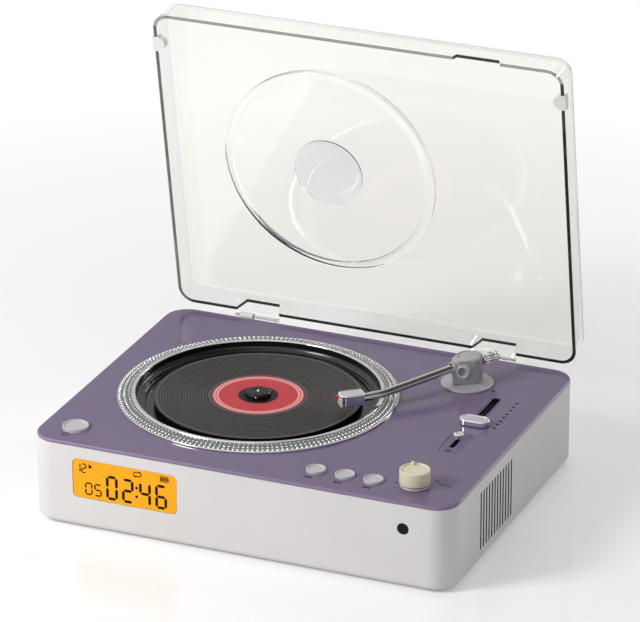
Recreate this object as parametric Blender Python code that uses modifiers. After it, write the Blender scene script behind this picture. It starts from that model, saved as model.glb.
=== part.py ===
import bpy
import bmesh
import math
from mathutils import Vector

# Driving sizes in metres: the case is centred on the root empty, with +Y to the back
case_width = 0.2550
case_depth = 0.2004
deck_top = 0.0527
case_corner = 0.0140
case_wall = 0.0022
case_floor_round = 0.0040
foot_reach = 0.0012
deck_thickness = 0.0018
deck_edge_round = 0.0010
deck_lip_depth = 0.0030
deck_lip_width = 0.0016

# Gaps between neighbours, and how far a cutter runs past what it cuts
fit_gap = 0.0003
cut_overrun = 0.0010
weld_distance = 0.000001
least_corner_angle = math.radians(20)
flat_angle = math.radians(0.1)
smooth_angle = math.radians(35)

# Disc, its well and the bright ring round it
disc_from_left = 0.0970
disc_from_front = 0.1008
disc_centre_x = disc_from_left - case_width / 2
disc_centre_y = disc_from_front - case_depth / 2
disc_radius = 0.0600
disc_thickness = 0.0012
disc_hole_radius = 0.0075
disc_drop = 0.0003
disc_side_gap = 0.0104
ring_width = 0.0105
ring_inner_radius = disc_radius + disc_side_gap
ring_outer_radius = ring_inner_radius + ring_width
ring_crest_height = 0.0030
ring_lip_width = 0.0020
ring_lip_thickness = 0.0012
ring_edge_height = 0.0008
ring_seat_width = 0.0050
well_wall = 0.0015
well_floor_gap = 0.0050
well_ledge_radius = disc_radius + well_floor_gap
well_ledge_drop = 0.0031
well_floor_drop = 0.0046
well_floor_thickness = 0.0015
well_hole_radius = 0.0150
well_slot_width = 0.0140
well_slot_corner = 0.0035
well_slot_margin = 0.0008

# Spindle
hub_rise = 0.0027
hub_chamfer = 0.0008
hub_platform_radius = 0.0135
hub_platform_thickness = 0.0014
spindle_shaft_radius = 0.0010
spindle_shaft_length = 0.0080
spindle_motor_radius = 0.0120
spindle_motor_height = 0.0060
spindle_motor_bore = 0.0013

# Pickup mechanism under the well
sled_length = 0.0160
sled_width = 0.0340
sled_height = 0.0070
sled_start = 0.0255
sled_travel = 0.0300
sled_end_room = 0.0060
chassis_width = 0.0520
chassis_thickness = 0.0020
chassis_drop = 0.0100
chassis_back_reach = 0.0220
chassis_end_width = 0.0025
chassis_window_length = sled_length + sled_travel + 2 * sled_end_room
chassis_window_width = 0.0380
chassis_length = (chassis_back_reach + sled_start + sled_travel / 2 + chassis_window_length / 2
                  + chassis_end_width)
chassis_post_radius = 0.0025
chassis_post_inset = 0.0040
rod_radius = 0.0015
rod_bore_radius = 0.0018
rod_spacing = 0.0280
rod_drop = 0.0150
rod_block_width = 0.0050
rod_block_length = 0.0040
rod_block_height = 0.0060
lens_block_size = 0.0100
lens_block_base = 0.00175
lens_radius = 0.0035
lens_gap = 0.0012
rack_drop = 0.00175
rack_width = 0.0018
rack_height = 0.0030
pinion_radius = 0.0050
tooth_height = 0.0012
pinion_thickness = 0.0030
pinion_teeth = 16
pinion_tooth_shares = (-0.30, -0.12, 0.12, 0.30)
rack_tooth_shares = (-0.30, -0.14, 0.14, 0.30)
sled_motor_radius = 0.0060
sled_motor_length = 0.0120
motor_shaft_radius = 0.0010

# Tonearm: pivot place, heights above the deck and plan angles from the front
pivot_from_right = 0.0533
pivot_from_back = 0.0386
pivot_x = case_width / 2 - pivot_from_right
pivot_y = case_depth / 2 - pivot_from_back
arm_base_radius = 0.0153
arm_base_edge = 0.0013
arm_base_round = 0.000325
arm_base_rise = 0.0024
arm_stem_radius = 0.0058
arm_stem_depth = 0.0080
arm_shaft_radius = 0.0040
arm_head_radius = 0.00775
arm_head_offset = 0.0016
arm_nose_radius = 0.0040
arm_nose_reach = 0.0070
arm_head_top = 0.0170
arm_head_round = 0.0004
arm_cap_radius = 0.0069
arm_cap_depth = 0.0006
arm_axis_height = 0.0125
arm_plan_angle = math.radians(34)
arm_bend_angle = math.radians(18)
arm_bend_radius = 0.0180
arm_straight_run = 0.0560
arm_last_run = 0.0085
arm_drop = 0.0056
arm_tube_radius = 0.00215
arm_tube_start = 0.0060
arm_collar_radius = 0.0034
arm_collar_reach = 0.0125
dial_angle = math.radians(-6)
dial_radius = 0.0034
dial_bore_radius = 0.0022
dial_bore_depth = 0.0030
dial_reach = 0.0108
dial_height = 0.0112
weight_radius = 0.0031
weight_round = 0.00062
weight_start = 0.0100
weight_end = 0.0215
headshell_length = 0.0140
headshell_width = 0.0080
headshell_bottom = 0.0036
headshell_top = 0.0107
headshell_cap_thickness = 0.0014
headshell_cap_round = 0.000466667
headshell_cap_overhang = 0.0006
headshell_corner = 0.0020
headshell_body_corner = 0.001
headshell_slot_width = 0.0028
headshell_slot_depth = 0.0030
finger_tip_radius = 0.0010
finger_tip_side = 0.002
finger_tip_height = 0.0034

# Controls on the deck
button_row_from_front = 0.0192
button_row_y = button_row_from_front - case_depth / 2
button_radius = 0.0058
button_rise = 0.0018
button_pitch = 0.0170
last_button_from_right = 0.0535
last_button_x = case_width / 2 - last_button_from_right
button_positions_x = (last_button_x - 2 * button_pitch, last_button_x - button_pitch,
                      last_button_x)
button_names = ("button_previous", "button_play", "button_next")
power_from_left = 0.0203
power_x = power_from_left - case_width / 2
power_radius = 0.0076
power_rise = 0.0025
button_dish = 0.0005
button_rim = 0.0011
button_flange = 0.0009
button_flange_thickness = 0.0010
button_stem_radius = 0.0015
button_stem_depth = 0.0054
switch_size = 0.0060
switch_height = 0.0025
key_board_drop = 0.0092
key_board_thickness = 0.0016
key_board_width = 0.0120
post_radius = 0.0020
knob_from_right = 0.0300
knob_from_front = 0.0217
knob_x = case_width / 2 - knob_from_right
knob_y = knob_from_front - case_depth / 2
knob_radius = 0.0091
knob_top = 0.0103
knob_skirt_radius = 0.0083
knob_skirt_height = 0.0014
knob_rim = 0.0010
knob_dish = 0.0007
knob_nub_radius = 0.0011
knob_nub_rise = 0.0010
knob_nub_angle = math.radians(112)
knob_edge_round = 0.0004
knob_shaft_radius = 0.0030
knob_shaft_depth = 0.0070
encoder_size = 0.0130
encoder_height = 0.0070
slider_from_right = 0.0290
slider_from_back = 0.0900
slider_x = case_width / 2 - slider_from_right
slider_rest_y = case_depth / 2 - slider_from_back
slider_travel = 0.0350
slider_length = 0.0172
slider_width = 0.0092
slider_height = 0.0031
slider_round = 0.0006
slider_slot_width = 0.0030
slider_neck_length = 0.0050
slider_neck_depth = 0.0050
fader_width = 0.0120
fader_height = 0.0080
fader_end = 0.0060
mode_from_right = 0.0298
mode_from_back = 0.1174
mode_x = case_width / 2 - mode_from_right
mode_y = case_depth / 2 - mode_from_back
mode_plate_width = 0.0120
mode_plate_length = 0.0297
mode_rest_ahead = 0.0044
mode_rest_y = mode_y + mode_rest_ahead
mode_travel = 0.0100
mode_cap_radius = 0.0034
mode_cap_height = 0.0016
mode_cap_round = 0.0004
mode_stem_radius = 0.0012
mode_stem_rise = 0.0022
mode_stem_depth = 0.0045
mode_body_width = 0.0100
mode_body_height = 0.0065
mode_body_end = 0.0025
mode_body_side = 0.0040

# Front wall: display and receiver window; heights are measured from the floor
display_from_left = 0.0589
display_x = display_from_left - case_width / 2
display_z = 0.0315
display_width = 0.0643
display_height = 0.0240
display_corner = 0.0035
display_pane = 0.0020
display_module_border = 0.0030
display_module_thickness = 0.0040
receiver_from_right = 0.0283
receiver_x = case_width / 2 - receiver_from_right
receiver_z = 0.0364
receiver_radius = 0.0035
receiver_body = 0.0080
receiver_depth = 0.0050

# Side walls: upright slots in front of each speaker
slot_count = 12
slot_pitch = 0.0043
slot_width = 0.0016
slot_height = 0.0351
slots_from_front = 0.0697
slot_centre_y = slots_from_front - case_depth / 2
slot_centre_z = 0.0260
speaker_radius = 0.0180
speaker_frame_thickness = 0.0020
speaker_basket_radius = 0.0120
speaker_basket_depth = 0.0080
speaker_magnet_radius = 0.0140
speaker_magnet_depth = 0.0060

# Rear sockets, board and battery
board_width = 0.1200
board_depth = 0.0700
board_thickness = 0.0016
board_height = 0.0100
board_from_left = 0.1175
board_centre_x = board_from_left - case_width / 2
board_wall_gap = 0.0040
board_post_inset = 0.0060
board_post_radius = 0.0030
socket_set_back = 0.0004
usb_a_from_board_middle = 0.0400
usb_a_x = board_centre_x - usb_a_from_board_middle
usb_a_width = 0.0131
usb_a_height = 0.0057
usb_a_length = 0.0140
usb_c_from_board_middle = 0.0100
usb_c_x = board_centre_x - usb_c_from_board_middle
usb_c_width = 0.0090
usb_c_height = 0.0032
usb_c_length = 0.0074
usb_shell = 0.0004
usb_mouth_depth = 0.0060
jack_from_board_middle = 0.0200
jack_x = board_centre_x + jack_from_board_middle
jack_radius = 0.0030
jack_bore_radius = 0.0018
jack_body_width = 0.0070
jack_body_length = 0.0110
battery_width = 0.0740
battery_depth = 0.0380
battery_height = 0.0190
battery_from_right = 0.1175
battery_from_front = 0.0452
battery_x = case_width / 2 - battery_from_right
battery_y = battery_from_front - case_depth / 2
battery_round = 0.0020

# Screw bosses and feet
boss_radius = 0.0035
boss_bore_radius = 0.0013
screw_head_radius = 0.0026
screw_recess_depth = 0.0015
screw_thread_radius = 0.0010
boss_inset = 0.0055
foot_radius = 0.0060
foot_inset = 0.0240
foot_pocket_depth = 0.0009
foot_round = 0.0005

# Lid, drawn closed round its hinge pin and turned open by the photographed angle
lid_open_angle = math.radians(80.1)
hinge_y_behind_case = 0.0023
hinge_z_above_deck = 0.0002
lid_rim_gap = 0.0010
lid_rear_inset = 0.0010
lid_side_inset = 0.00145
lid_front_inset = 0.0044
lid_width = case_width - 2 * lid_side_inset
lid_length = case_depth - lid_rear_inset - lid_front_inset
lid_depth = 0.0184
lid_corner = 0.0099
lid_draft = 0.0009
lid_wall = 0.0016
lid_round = 0.0022
lid_dish_from_disc = 0.0021
lid_dish_x = disc_centre_x + lid_dish_from_disc
lid_dish_from_rim = 0.0970
lid_dish_radius = 0.0658
lid_dish_floor_radius = 0.0578
lid_dish_depth = 0.0016
lid_disc_radius = 0.0212
lid_disc_thickness = 0.0010
finger_notch_from_right = 0.0535
finger_notch_x = case_width / 2 - finger_notch_from_right
finger_notch_width = 0.0290
finger_notch_depth = 0.0032
hinge_from_side = 0.0525
hinge_x = case_width / 2 - hinge_from_side
hinge_notch_width = 0.0280
hinge_notch_depth = 0.0090
hinge_notch_slope = 0.0035
hinge_pin_radius = 0.0008
knuckle_radius = 0.0019
knuckle_bore_radius = 0.0011
hinge_ear_width = 0.0030
leaf_thickness = 0.0016
leaf_width = 0.0320
leaf_bottom = 0.0030
leaf_top = 0.0145
bracket_knuckle_width = 0.0080
bracket_thickness = 0.0016
bracket_width = 0.0200
bracket_height = 0.0100
bracket_drop = 0.0025
bumper_length = 0.0094
bumper_height = 0.0044
bumper_sole = 0.0004
bumper_outer = 0.0005
bumper_inner = 0.0010
bumper_pad_radius = 0.0042
bumper_from_front_rim = 0.0198

# Facets of round shapes
large_segments = 56
medium_segments = 24
small_segments = 18
corner_segments = 5
tiny_segments = 10
slot_end_steps = 4
round_steps = 3
eye_steps = 10
head_nose_steps = 8
head_back_steps = 20

# Colours as seen, with roughness and metallic value
finishes = {
    "case_grey": ((0.72, 0.70, 0.68, 1), 0.55, 0.0),
    "deck_lilac": ((0.22, 0.19, 0.28, 1), 0.15, 0.0),
    "black_gloss": ((0.02, 0.02, 0.02, 1), 0.10, 0.0),
    "black_matt": ((0.03, 0.03, 0.03, 1), 0.60, 0.0),
    "chrome": ((0.85, 0.85, 0.86, 1), 0.12, 1.0),
    "steel": ((0.55, 0.55, 0.56, 1), 0.30, 1.0),
    "disc_dark": ((0.07, 0.065, 0.065, 1), 0.25, 0.0),
    "arm_grey": ((0.50, 0.49, 0.50, 1), 0.35, 0.3),
    "button_grey": ((0.58, 0.56, 0.58, 1), 0.40, 0.0),
    "knob_cream": ((0.75, 0.68, 0.46, 1), 0.40, 0.0),
    "tip_red": ((0.60, 0.05, 0.08, 1), 0.35, 0.0),
    "amber": ((0.95, 0.45, 0.02, 1), 0.20, 0.0),
    "clear": ((0.88, 0.88, 0.84, 1), 0.05, 0.0),
    "clear_lilac": ((0.62, 0.56, 0.70, 1), 0.10, 0.0),
    "rubber": ((0.35, 0.35, 0.34, 1), 0.80, 0.0),
    "board_green": ((0.03, 0.16, 0.08, 1), 0.50, 0.0),
    "battery_blue": ((0.05, 0.12, 0.35, 1), 0.45, 0.0),
    "gear_white": ((0.80, 0.80, 0.77, 1), 0.50, 0.0),
    "paper_black": ((0.04, 0.04, 0.04, 1), 0.90, 0.0),
}

for old_object in list(bpy.data.objects):
    bpy.data.objects.remove(old_object, do_unlink=True)

part_collection = bpy.data.collections.new("cd_player")
cutter_collection = bpy.data.collections.new("cutters")
bpy.context.scene.collection.children.link(part_collection)
bpy.context.scene.collection.children.link(cutter_collection)


def finish_material(finish_name):
    material = bpy.data.materials.get(finish_name)
    if material is None:
        colour, roughness, metallic = finishes[finish_name]
        material = bpy.data.materials.new(finish_name)
        material.use_nodes = True
        shader = material.node_tree.nodes["Principled BSDF"]
        shader.inputs["Base Color"].default_value = colour
        shader.inputs["Roughness"].default_value = roughness
        shader.inputs["Metallic"].default_value = metallic
        material.diffuse_color = colour
    return material


def add_empty(name, location, parent=None, rotation=(0, 0, 0)):
    empty = bpy.data.objects.new(name, None)
    part_collection.objects.link(empty)
    empty.parent = parent
    empty.location = location
    empty.rotation_euler = rotation
    return empty


# Pieces are objects in the part's collection; a piece with no finish is a cutter or a joined form
def add_piece(name, mesh, finish_name, location=(0, 0, 0), rotation=(0, 0, 0), parent=None):
    piece = bpy.data.objects.new(name, mesh)
    if finish_name is None:
        cutter_collection.objects.link(piece)
        piece.hide_render = True
        piece.display_type = "WIRE"
    else:
        part_collection.objects.link(piece)
        mesh.materials.append(finish_material(finish_name))
    piece.parent = parent
    piece.location = location
    piece.rotation_euler = rotation
    return piece


def smooth_shading(mesh):
    mesh.shade_smooth()
    mesh.set_sharp_from_angle(angle=smooth_angle)


# Plan outlines are lists of (x, y), run anticlockwise
def arc_points(centre_x, centre_y, radius, start_angle, end_angle, steps):
    points = []
    for step in range(steps + 1):
        angle = start_angle + (end_angle - start_angle) * step / steps
        points.append((centre_x + radius * math.cos(angle), centre_y + radius * math.sin(angle)))
    return points


def circle_outline(radius, segments, centre_x=0, centre_y=0):
    return arc_points(centre_x, centre_y, radius, 0, math.tau, segments)[:-1]


def rounded_outline(width, depth, corner, centre_x=0, centre_y=0, steps=corner_segments):
    side = width / 2 - corner
    end = depth / 2 - corner
    points = []
    quarter = math.pi / 2
    for index, (sign_x, sign_y) in enumerate(((1, 1), (-1, 1), (-1, -1), (1, -1))):
        points += arc_points(centre_x + sign_x * side, centre_y + sign_y * end, corner,
                             index * quarter, (index + 1) * quarter, steps)
    return points


def capsule_outline(width, depth, centre_x=0, centre_y=0, steps=corner_segments):
    radius = min(width, depth) / 2
    side = width / 2 - radius
    end = depth / 2 - radius
    if width > depth:
        right = arc_points(centre_x + side, centre_y, radius, -math.pi / 2, math.pi / 2, steps)
        left = arc_points(centre_x - side, centre_y, radius, math.pi / 2, math.tau - math.pi / 2, steps)
        return right + left
    top = arc_points(centre_x, centre_y + end, radius, 0, math.pi, steps)
    bottom = arc_points(centre_x, centre_y - end, radius, math.pi, math.tau, steps)
    return top + bottom


# A flat solid from filled outlines, lying from z = 0 up to its thickness
def flat_solid(name, outlines, thickness):
    curve = bpy.data.curves.new(name + "_outline", "CURVE")
    curve.dimensions = "2D"
    curve.fill_mode = "BOTH"
    curve.extrude = thickness / 2
    for outline in outlines:
        spline = curve.splines.new("POLY")
        spline.points.add(len(outline) - 1)
        for point, (x, y) in zip(spline.points, outline):
            point.co = (x, y, 0, 1)
        spline.use_cyclic_u = True
    curve_object = bpy.data.objects.new(name + "_outline", curve)
    bpy.context.scene.collection.objects.link(curve_object)
    depsgraph = bpy.context.evaluated_depsgraph_get()
    mesh = bpy.data.meshes.new_from_object(curve_object.evaluated_get(depsgraph))
    bpy.data.objects.remove(curve_object, do_unlink=True)
    bpy.data.curves.remove(curve)
    edit = bmesh.new()
    edit.from_mesh(mesh)
    bmesh.ops.remove_doubles(edit, verts=edit.verts, dist=weld_distance)
    if len(outlines) == 1:
        bmesh.ops.dissolve_limit(edit, angle_limit=flat_angle, verts=edit.verts, edges=edit.edges)
    bmesh.ops.translate(edit, verts=edit.verts, vec=(0, 0, thickness / 2))
    edit.to_mesh(mesh)
    edit.free()
    mesh.name = name
    mesh.materials.clear()
    return mesh


# Rounds the corner edges of a mesh for which the test on their two ends is true
def round_edges(mesh, edge_test, width, segments=2):
    edit = bmesh.new()
    edit.from_mesh(mesh)
    chosen = []
    for edge in edit.edges:
        is_corner = edge.calc_face_angle(0) > least_corner_angle
        if is_corner and edge_test(edge.verts[0].co, edge.verts[1].co):
            chosen.append(edge)
    bmesh.ops.bevel(edit, geom=chosen, offset=width, segments=segments, profile=0.5,
                    affect="EDGES", clamp_overlap=True)
    edit.to_mesh(mesh)
    edit.free()


def at_height(height):
    def edge_test(first, second):
        return abs(first.z - height) < weld_distance and abs(second.z - height) < weld_distance
    return edge_test


def block_mesh(name, size_x, size_y, size_z, round_width=0):
    mesh = bpy.data.meshes.new(name)
    edit = bmesh.new()
    bmesh.ops.create_cube(edit, size=1)
    bmesh.ops.scale(edit, vec=(size_x, size_y, size_z), verts=edit.verts)
    if round_width:
        bmesh.ops.bevel(edit, geom=edit.edges[:], offset=round_width, segments=2, profile=0.5,
                        affect="EDGES")
    edit.to_mesh(mesh)
    edit.free()
    return mesh


# A cylinder or cone along Z from its base at z = 0
def cylinder_mesh(name, radius, height, segments=small_segments, top_radius=None):
    mesh = bpy.data.meshes.new(name)
    edit = bmesh.new()
    upper = radius if top_radius is None else top_radius
    bmesh.ops.create_cone(edit, cap_ends=True, segments=segments, radius1=radius, radius2=upper,
                          depth=height)
    bmesh.ops.translate(edit, verts=edit.verts, vec=(0, 0, height / 2))
    edit.to_mesh(mesh)
    edit.free()
    smooth_shading(mesh)
    return mesh


# A turned mesh: the profile is a list of (radius, z) that runs down the outer side
def turned_mesh(name, profile, segments=medium_segments, closed=False):
    outline = bpy.data.meshes.new(name + "_profile")
    points = [(radius, 0, z) for radius, z in profile]
    edges = [(index, index + 1) for index in range(len(points) - 1)]
    if closed:
        edges.append((len(points) - 1, 0))
    outline.from_pydata(points, edges, [])
    turning = bpy.data.objects.new(name + "_profile", outline)
    bpy.context.scene.collection.objects.link(turning)
    screw = turning.modifiers.new("turn", "SCREW")
    screw.angle = math.tau
    screw.steps = segments
    screw.render_steps = segments
    screw.use_merge_vertices = True
    screw.merge_threshold = weld_distance
    depsgraph = bpy.context.evaluated_depsgraph_get()
    mesh = bpy.data.meshes.new_from_object(turning.evaluated_get(depsgraph))
    bpy.data.objects.remove(turning, do_unlink=True)
    bpy.data.meshes.remove(outline)
    mesh.name = name
    smooth_shading(mesh)
    return mesh


def cut(piece, cutter):
    boolean = piece.modifiers.new("cut_" + cutter.name, "BOOLEAN")
    boolean.operation = "DIFFERENCE"
    boolean.object = cutter
    return piece


def join(piece, added):
    boolean = piece.modifiers.new("join_" + added.name, "BOOLEAN")
    boolean.operation = "UNION"
    boolean.object = added
    return piece


# Levels that several pieces share, measured from the floor
deck_underside = deck_top - deck_thickness
case_top = deck_underside - fit_gap
case_inside_floor = foot_reach + case_wall
front_face = -case_depth / 2
back_face = case_depth / 2
hang_level = deck_underside - fit_gap
well_floor_top = deck_top - well_floor_drop
well_floor_bottom = well_floor_top - well_floor_thickness

root = add_empty("cd_player_root", (0, 0, 0))


# Case: an open-topped tub with its bosses, windows, speaker slots and sockets
def make_case():
    height = case_top - foot_reach
    mesh = flat_solid("lower_case", [rounded_outline(case_width, case_depth, case_corner)], height)
    round_edges(mesh, at_height(0), case_floor_round, round_steps)
    smooth_shading(mesh)
    case = add_piece("lower_case", mesh, "case_grey", (0, 0, foot_reach), parent=root)
    hollow = flat_solid("case_hollow", [rounded_outline(case_width - 2 * case_wall,
                                                        case_depth - 2 * case_wall,
                                                        case_corner - case_wall)], height)
    cut(case, add_piece("case_hollow", hollow, None, (0, 0, case_inside_floor), parent=root))
    boss_places = boss_places_in_plan()
    boss_outlines = [circle_outline(boss_radius, tiny_segments, x, y) for x, y in boss_places]
    boss_top = case_top - deck_lip_depth - fit_gap
    bosses = flat_solid("case_bosses", boss_outlines, boss_top - case_inside_floor + case_wall / 2)
    join(case, add_piece("case_bosses", bosses, None,
                         (0, 0, case_inside_floor - case_wall / 2), parent=root))
    posts = flat_solid("board_posts", [circle_outline(board_post_radius, tiny_segments, x, y)
                                       for x, y in board_post_places()],
                       board_height - case_inside_floor - fit_gap + case_wall / 2)
    join(case, add_piece("board_posts", posts, None,
                         (0, 0, case_inside_floor - case_wall / 2), parent=root))
    bores = flat_solid("boss_bores", [circle_outline(boss_bore_radius, tiny_segments, x, y)
                                      for x, y in boss_places],
                       boss_top - foot_reach + 2 * cut_overrun)
    cut(case, add_piece("boss_bores", bores, None, (0, 0, foot_reach - cut_overrun), parent=root))
    recesses = flat_solid("screw_recesses", [circle_outline(screw_head_radius + fit_gap,
                                                            small_segments, x, y)
                                             for x, y in boss_places],
                          screw_recess_depth + cut_overrun)
    cut(case, add_piece("screw_recesses", recesses, None, (0, 0, foot_reach - cut_overrun),
                        parent=root))
    cut_front_wall(case)
    cut_side_walls(case)
    cut_back_wall(case)
    pockets = flat_solid("foot_pockets", [circle_outline(foot_radius + fit_gap, small_segments, x, y)
                                          for x, y in foot_places()],
                         foot_pocket_depth + cut_overrun)
    cut(case, add_piece("foot_pockets", pockets, None, (0, 0, foot_reach - cut_overrun), parent=root))
    return case


def corner_places(side, end):
    return [(side, end), (-side, end), (-side, -end), (side, -end)]


def boss_places_in_plan():
    return corner_places(case_width / 2 - case_wall - boss_inset,
                         case_depth / 2 - case_wall - boss_inset)


def foot_places():
    return corner_places(case_width / 2 - foot_inset, case_depth / 2 - foot_inset)


def board_centre_y():
    return back_face - case_wall - board_wall_gap - board_depth / 2


def board_post_places():
    side = board_width / 2 - board_post_inset
    end = board_depth / 2 - board_post_inset
    return [(board_centre_x + x, board_centre_y() + y) for x, y in corner_places(side, end)]


def cut_front_wall(case):
    reach = case_wall + 2 * cut_overrun
    outlines = [rounded_outline(display_width, display_height, display_corner, display_x, display_z),
                circle_outline(receiver_radius, small_segments, receiver_x, receiver_z)]
    opening = flat_solid("front_openings", outlines, reach)
    cut(case, add_piece("front_openings", opening, None,
                        (0, front_face + case_wall + cut_overrun, 0), (math.pi / 2, 0, 0), root))


def cut_side_walls(case):
    reach = case_wall + 2 * cut_overrun
    first = -(slot_count - 1) / 2
    outlines = []
    for index in range(slot_count):
        along = slot_centre_y + (first + index) * slot_pitch
        outlines.append(capsule_outline(slot_width, slot_height, along, slot_centre_z, 2))
    for side_name, side in (("left", -1), ("right", 1)):
        mesh = flat_solid("speaker_slots_" + side_name, outlines, reach)
        middle = side * (case_width / 2 - case_wall / 2)
        cut(case, add_piece("speaker_slots_" + side_name, mesh, None, (middle - reach / 2, 0, 0),
                            (math.pi / 2, 0, math.pi / 2), root))


def cut_back_wall(case):
    reach = case_wall + 2 * cut_overrun
    socket_level = board_height + board_thickness + fit_gap
    outlines = [rounded_outline(usb_a_width + 2 * fit_gap, usb_a_height + 2 * fit_gap, fit_gap,
                                usb_a_x, socket_level + usb_a_height / 2, 1),
                capsule_outline(usb_c_width + 2 * fit_gap, usb_c_height + 2 * fit_gap,
                                usb_c_x, socket_level + usb_c_height / 2,
                                slot_end_steps),
                circle_outline(jack_radius + fit_gap, small_segments, jack_x,
                               socket_level + jack_body_width / 2)]
    opening = flat_solid("back_openings", outlines, reach)
    cut(case, add_piece("back_openings", opening, None,
                        (0, back_face + cut_overrun, 0), (math.pi / 2, 0, 0), root))


def make_feet():
    names = ("foot_back_right", "foot_back_left", "foot_front_left", "foot_front_right")
    height = foot_reach + foot_pocket_depth - fit_gap
    profile = [(0, height), (foot_radius, height), (foot_radius, foot_round),
               (foot_radius - foot_round, 0), (0, 0)]
    mesh = turned_mesh("foot", profile, small_segments)
    for name, (x, y) in zip(names, foot_places()):
        add_piece(name, mesh.copy(), "rubber", (x, y, 0), parent=root)


# Deck: the glossy top plate with its locating lip and key posts, then all its openings
def make_deck():
    mesh = flat_solid("deck_panel", [rounded_outline(case_width, case_depth, case_corner)],
                      deck_thickness)
    round_edges(mesh, at_height(deck_thickness), deck_edge_round)
    smooth_shading(mesh)
    deck = add_piece("deck_panel", mesh, "deck_lilac", (0, 0, deck_underside), parent=root)
    inset = case_wall + fit_gap
    lip_outer = rounded_outline(case_width - 2 * inset, case_depth - 2 * inset, case_corner - inset)
    inner = inset + deck_lip_width
    lip_inner = rounded_outline(case_width - 2 * inner, case_depth - 2 * inner, case_corner - inner)
    lip = flat_solid("deck_lip", [lip_outer, lip_inner], deck_lip_depth + deck_thickness / 2)
    join(deck, add_piece("deck_lip", lip, None, (0, 0, deck_underside - deck_lip_depth),
                         parent=root))
    pads = flat_solid("deck_pads", [circle_outline(boss_radius - case_wall / 2, tiny_segments, x, y)
                                    for x, y in boss_places_in_plan()],
                      deck_lip_depth + deck_thickness / 2)
    join(deck, add_piece("deck_pads", pads, None, (0, 0, deck_underside - deck_lip_depth),
                         parent=root))
    post_length = key_board_drop - deck_thickness - fit_gap
    posts = flat_solid("key_posts", [circle_outline(post_radius, tiny_segments, x, y)
                                     for x, y in key_post_places()],
                       post_length + deck_thickness / 2)
    join(deck, add_piece("key_posts", posts, None, (0, 0, deck_underside - post_length), parent=root))
    holes = [circle_outline(ring_outer_radius - ring_seat_width, large_segments,
                            disc_centre_x, disc_centre_y),
             circle_outline(arm_stem_radius + fit_gap, small_segments, pivot_x, pivot_y),
             capsule_outline(slider_slot_width, slider_slot_length(), slider_x,
                             slider_slot_middle(), slot_end_steps),
             capsule_outline(mode_plate_width + 2 * fit_gap, mode_plate_length + 2 * fit_gap,
                             mode_x, mode_y),
             circle_outline(knob_shaft_radius + fit_gap, small_segments, knob_x, knob_y),
             circle_outline(power_radius + fit_gap, medium_segments, power_x, button_row_y)]
    for x in button_positions_x:
        holes.append(circle_outline(button_radius + fit_gap, medium_segments, x, button_row_y))
    threads = flat_solid("screw_threads", [circle_outline(screw_thread_radius, tiny_segments, x, y)
                                           for x, y in boss_places_in_plan()],
                         deck_lip_depth + cut_overrun)
    cut(deck, add_piece("screw_threads", threads, None,
                        (0, 0, deck_underside - deck_lip_depth - cut_overrun), parent=root))
    openings = flat_solid("deck_openings", holes, deck_thickness + 2 * cut_overrun)
    cut(deck, add_piece("deck_openings", openings, None, (0, 0, deck_underside - cut_overrun),
                        parent=root))
    return deck


def slider_slot_length():
    return slider_travel + slider_neck_length + 2 * fit_gap


def slider_slot_middle():
    return slider_rest_y + slider_travel / 2


# The key boards reach past their outer switches, and a post stands at each end
def key_board_spans():
    post_room = button_flange + 2 * fit_gap + 2 * post_radius
    reach = button_radius + post_room
    power_reach = power_radius + post_room
    return {"key_board": (button_positions_x[0] - reach, button_positions_x[-1] + reach,
                          button_positions_x),
            "power_key_board": (power_x - power_reach, power_x + power_reach, (power_x,))}


def key_post_places():
    places = []
    for first, last, _ in key_board_spans().values():
        places.append((first + post_radius, button_row_y))
        places.append((last - post_radius, button_row_y))
    return places


# Chrome ring: a low cone with a raised inner rim, carried on the deck round the well
def make_ring():
    foot = deck_top + fit_gap
    crest = deck_top + ring_crest_height
    lip_bottom = crest - ring_lip_thickness
    seat_radius = ring_outer_radius - ring_seat_width + fit_gap * 2
    edge_round = ring_edge_height / 2
    profile = [(ring_inner_radius + ring_lip_width / 2, crest),
               (ring_inner_radius + ring_lip_width, crest - edge_round),
               (ring_outer_radius - edge_round, foot + ring_edge_height),
               (ring_outer_radius, foot + edge_round),
               (ring_outer_radius, foot),
               (seat_radius, foot),
               (ring_inner_radius + ring_lip_width + well_wall, lip_bottom - edge_round),
               (ring_inner_radius + ring_lip_width, lip_bottom),
               (ring_inner_radius, lip_bottom),
               (ring_inner_radius, crest - edge_round)]
    mesh = turned_mesh("platter_ring", profile, large_segments, closed=True)
    return add_piece("platter_ring", mesh, "chrome", (disc_centre_x, disc_centre_y, 0), parent=root)


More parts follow.
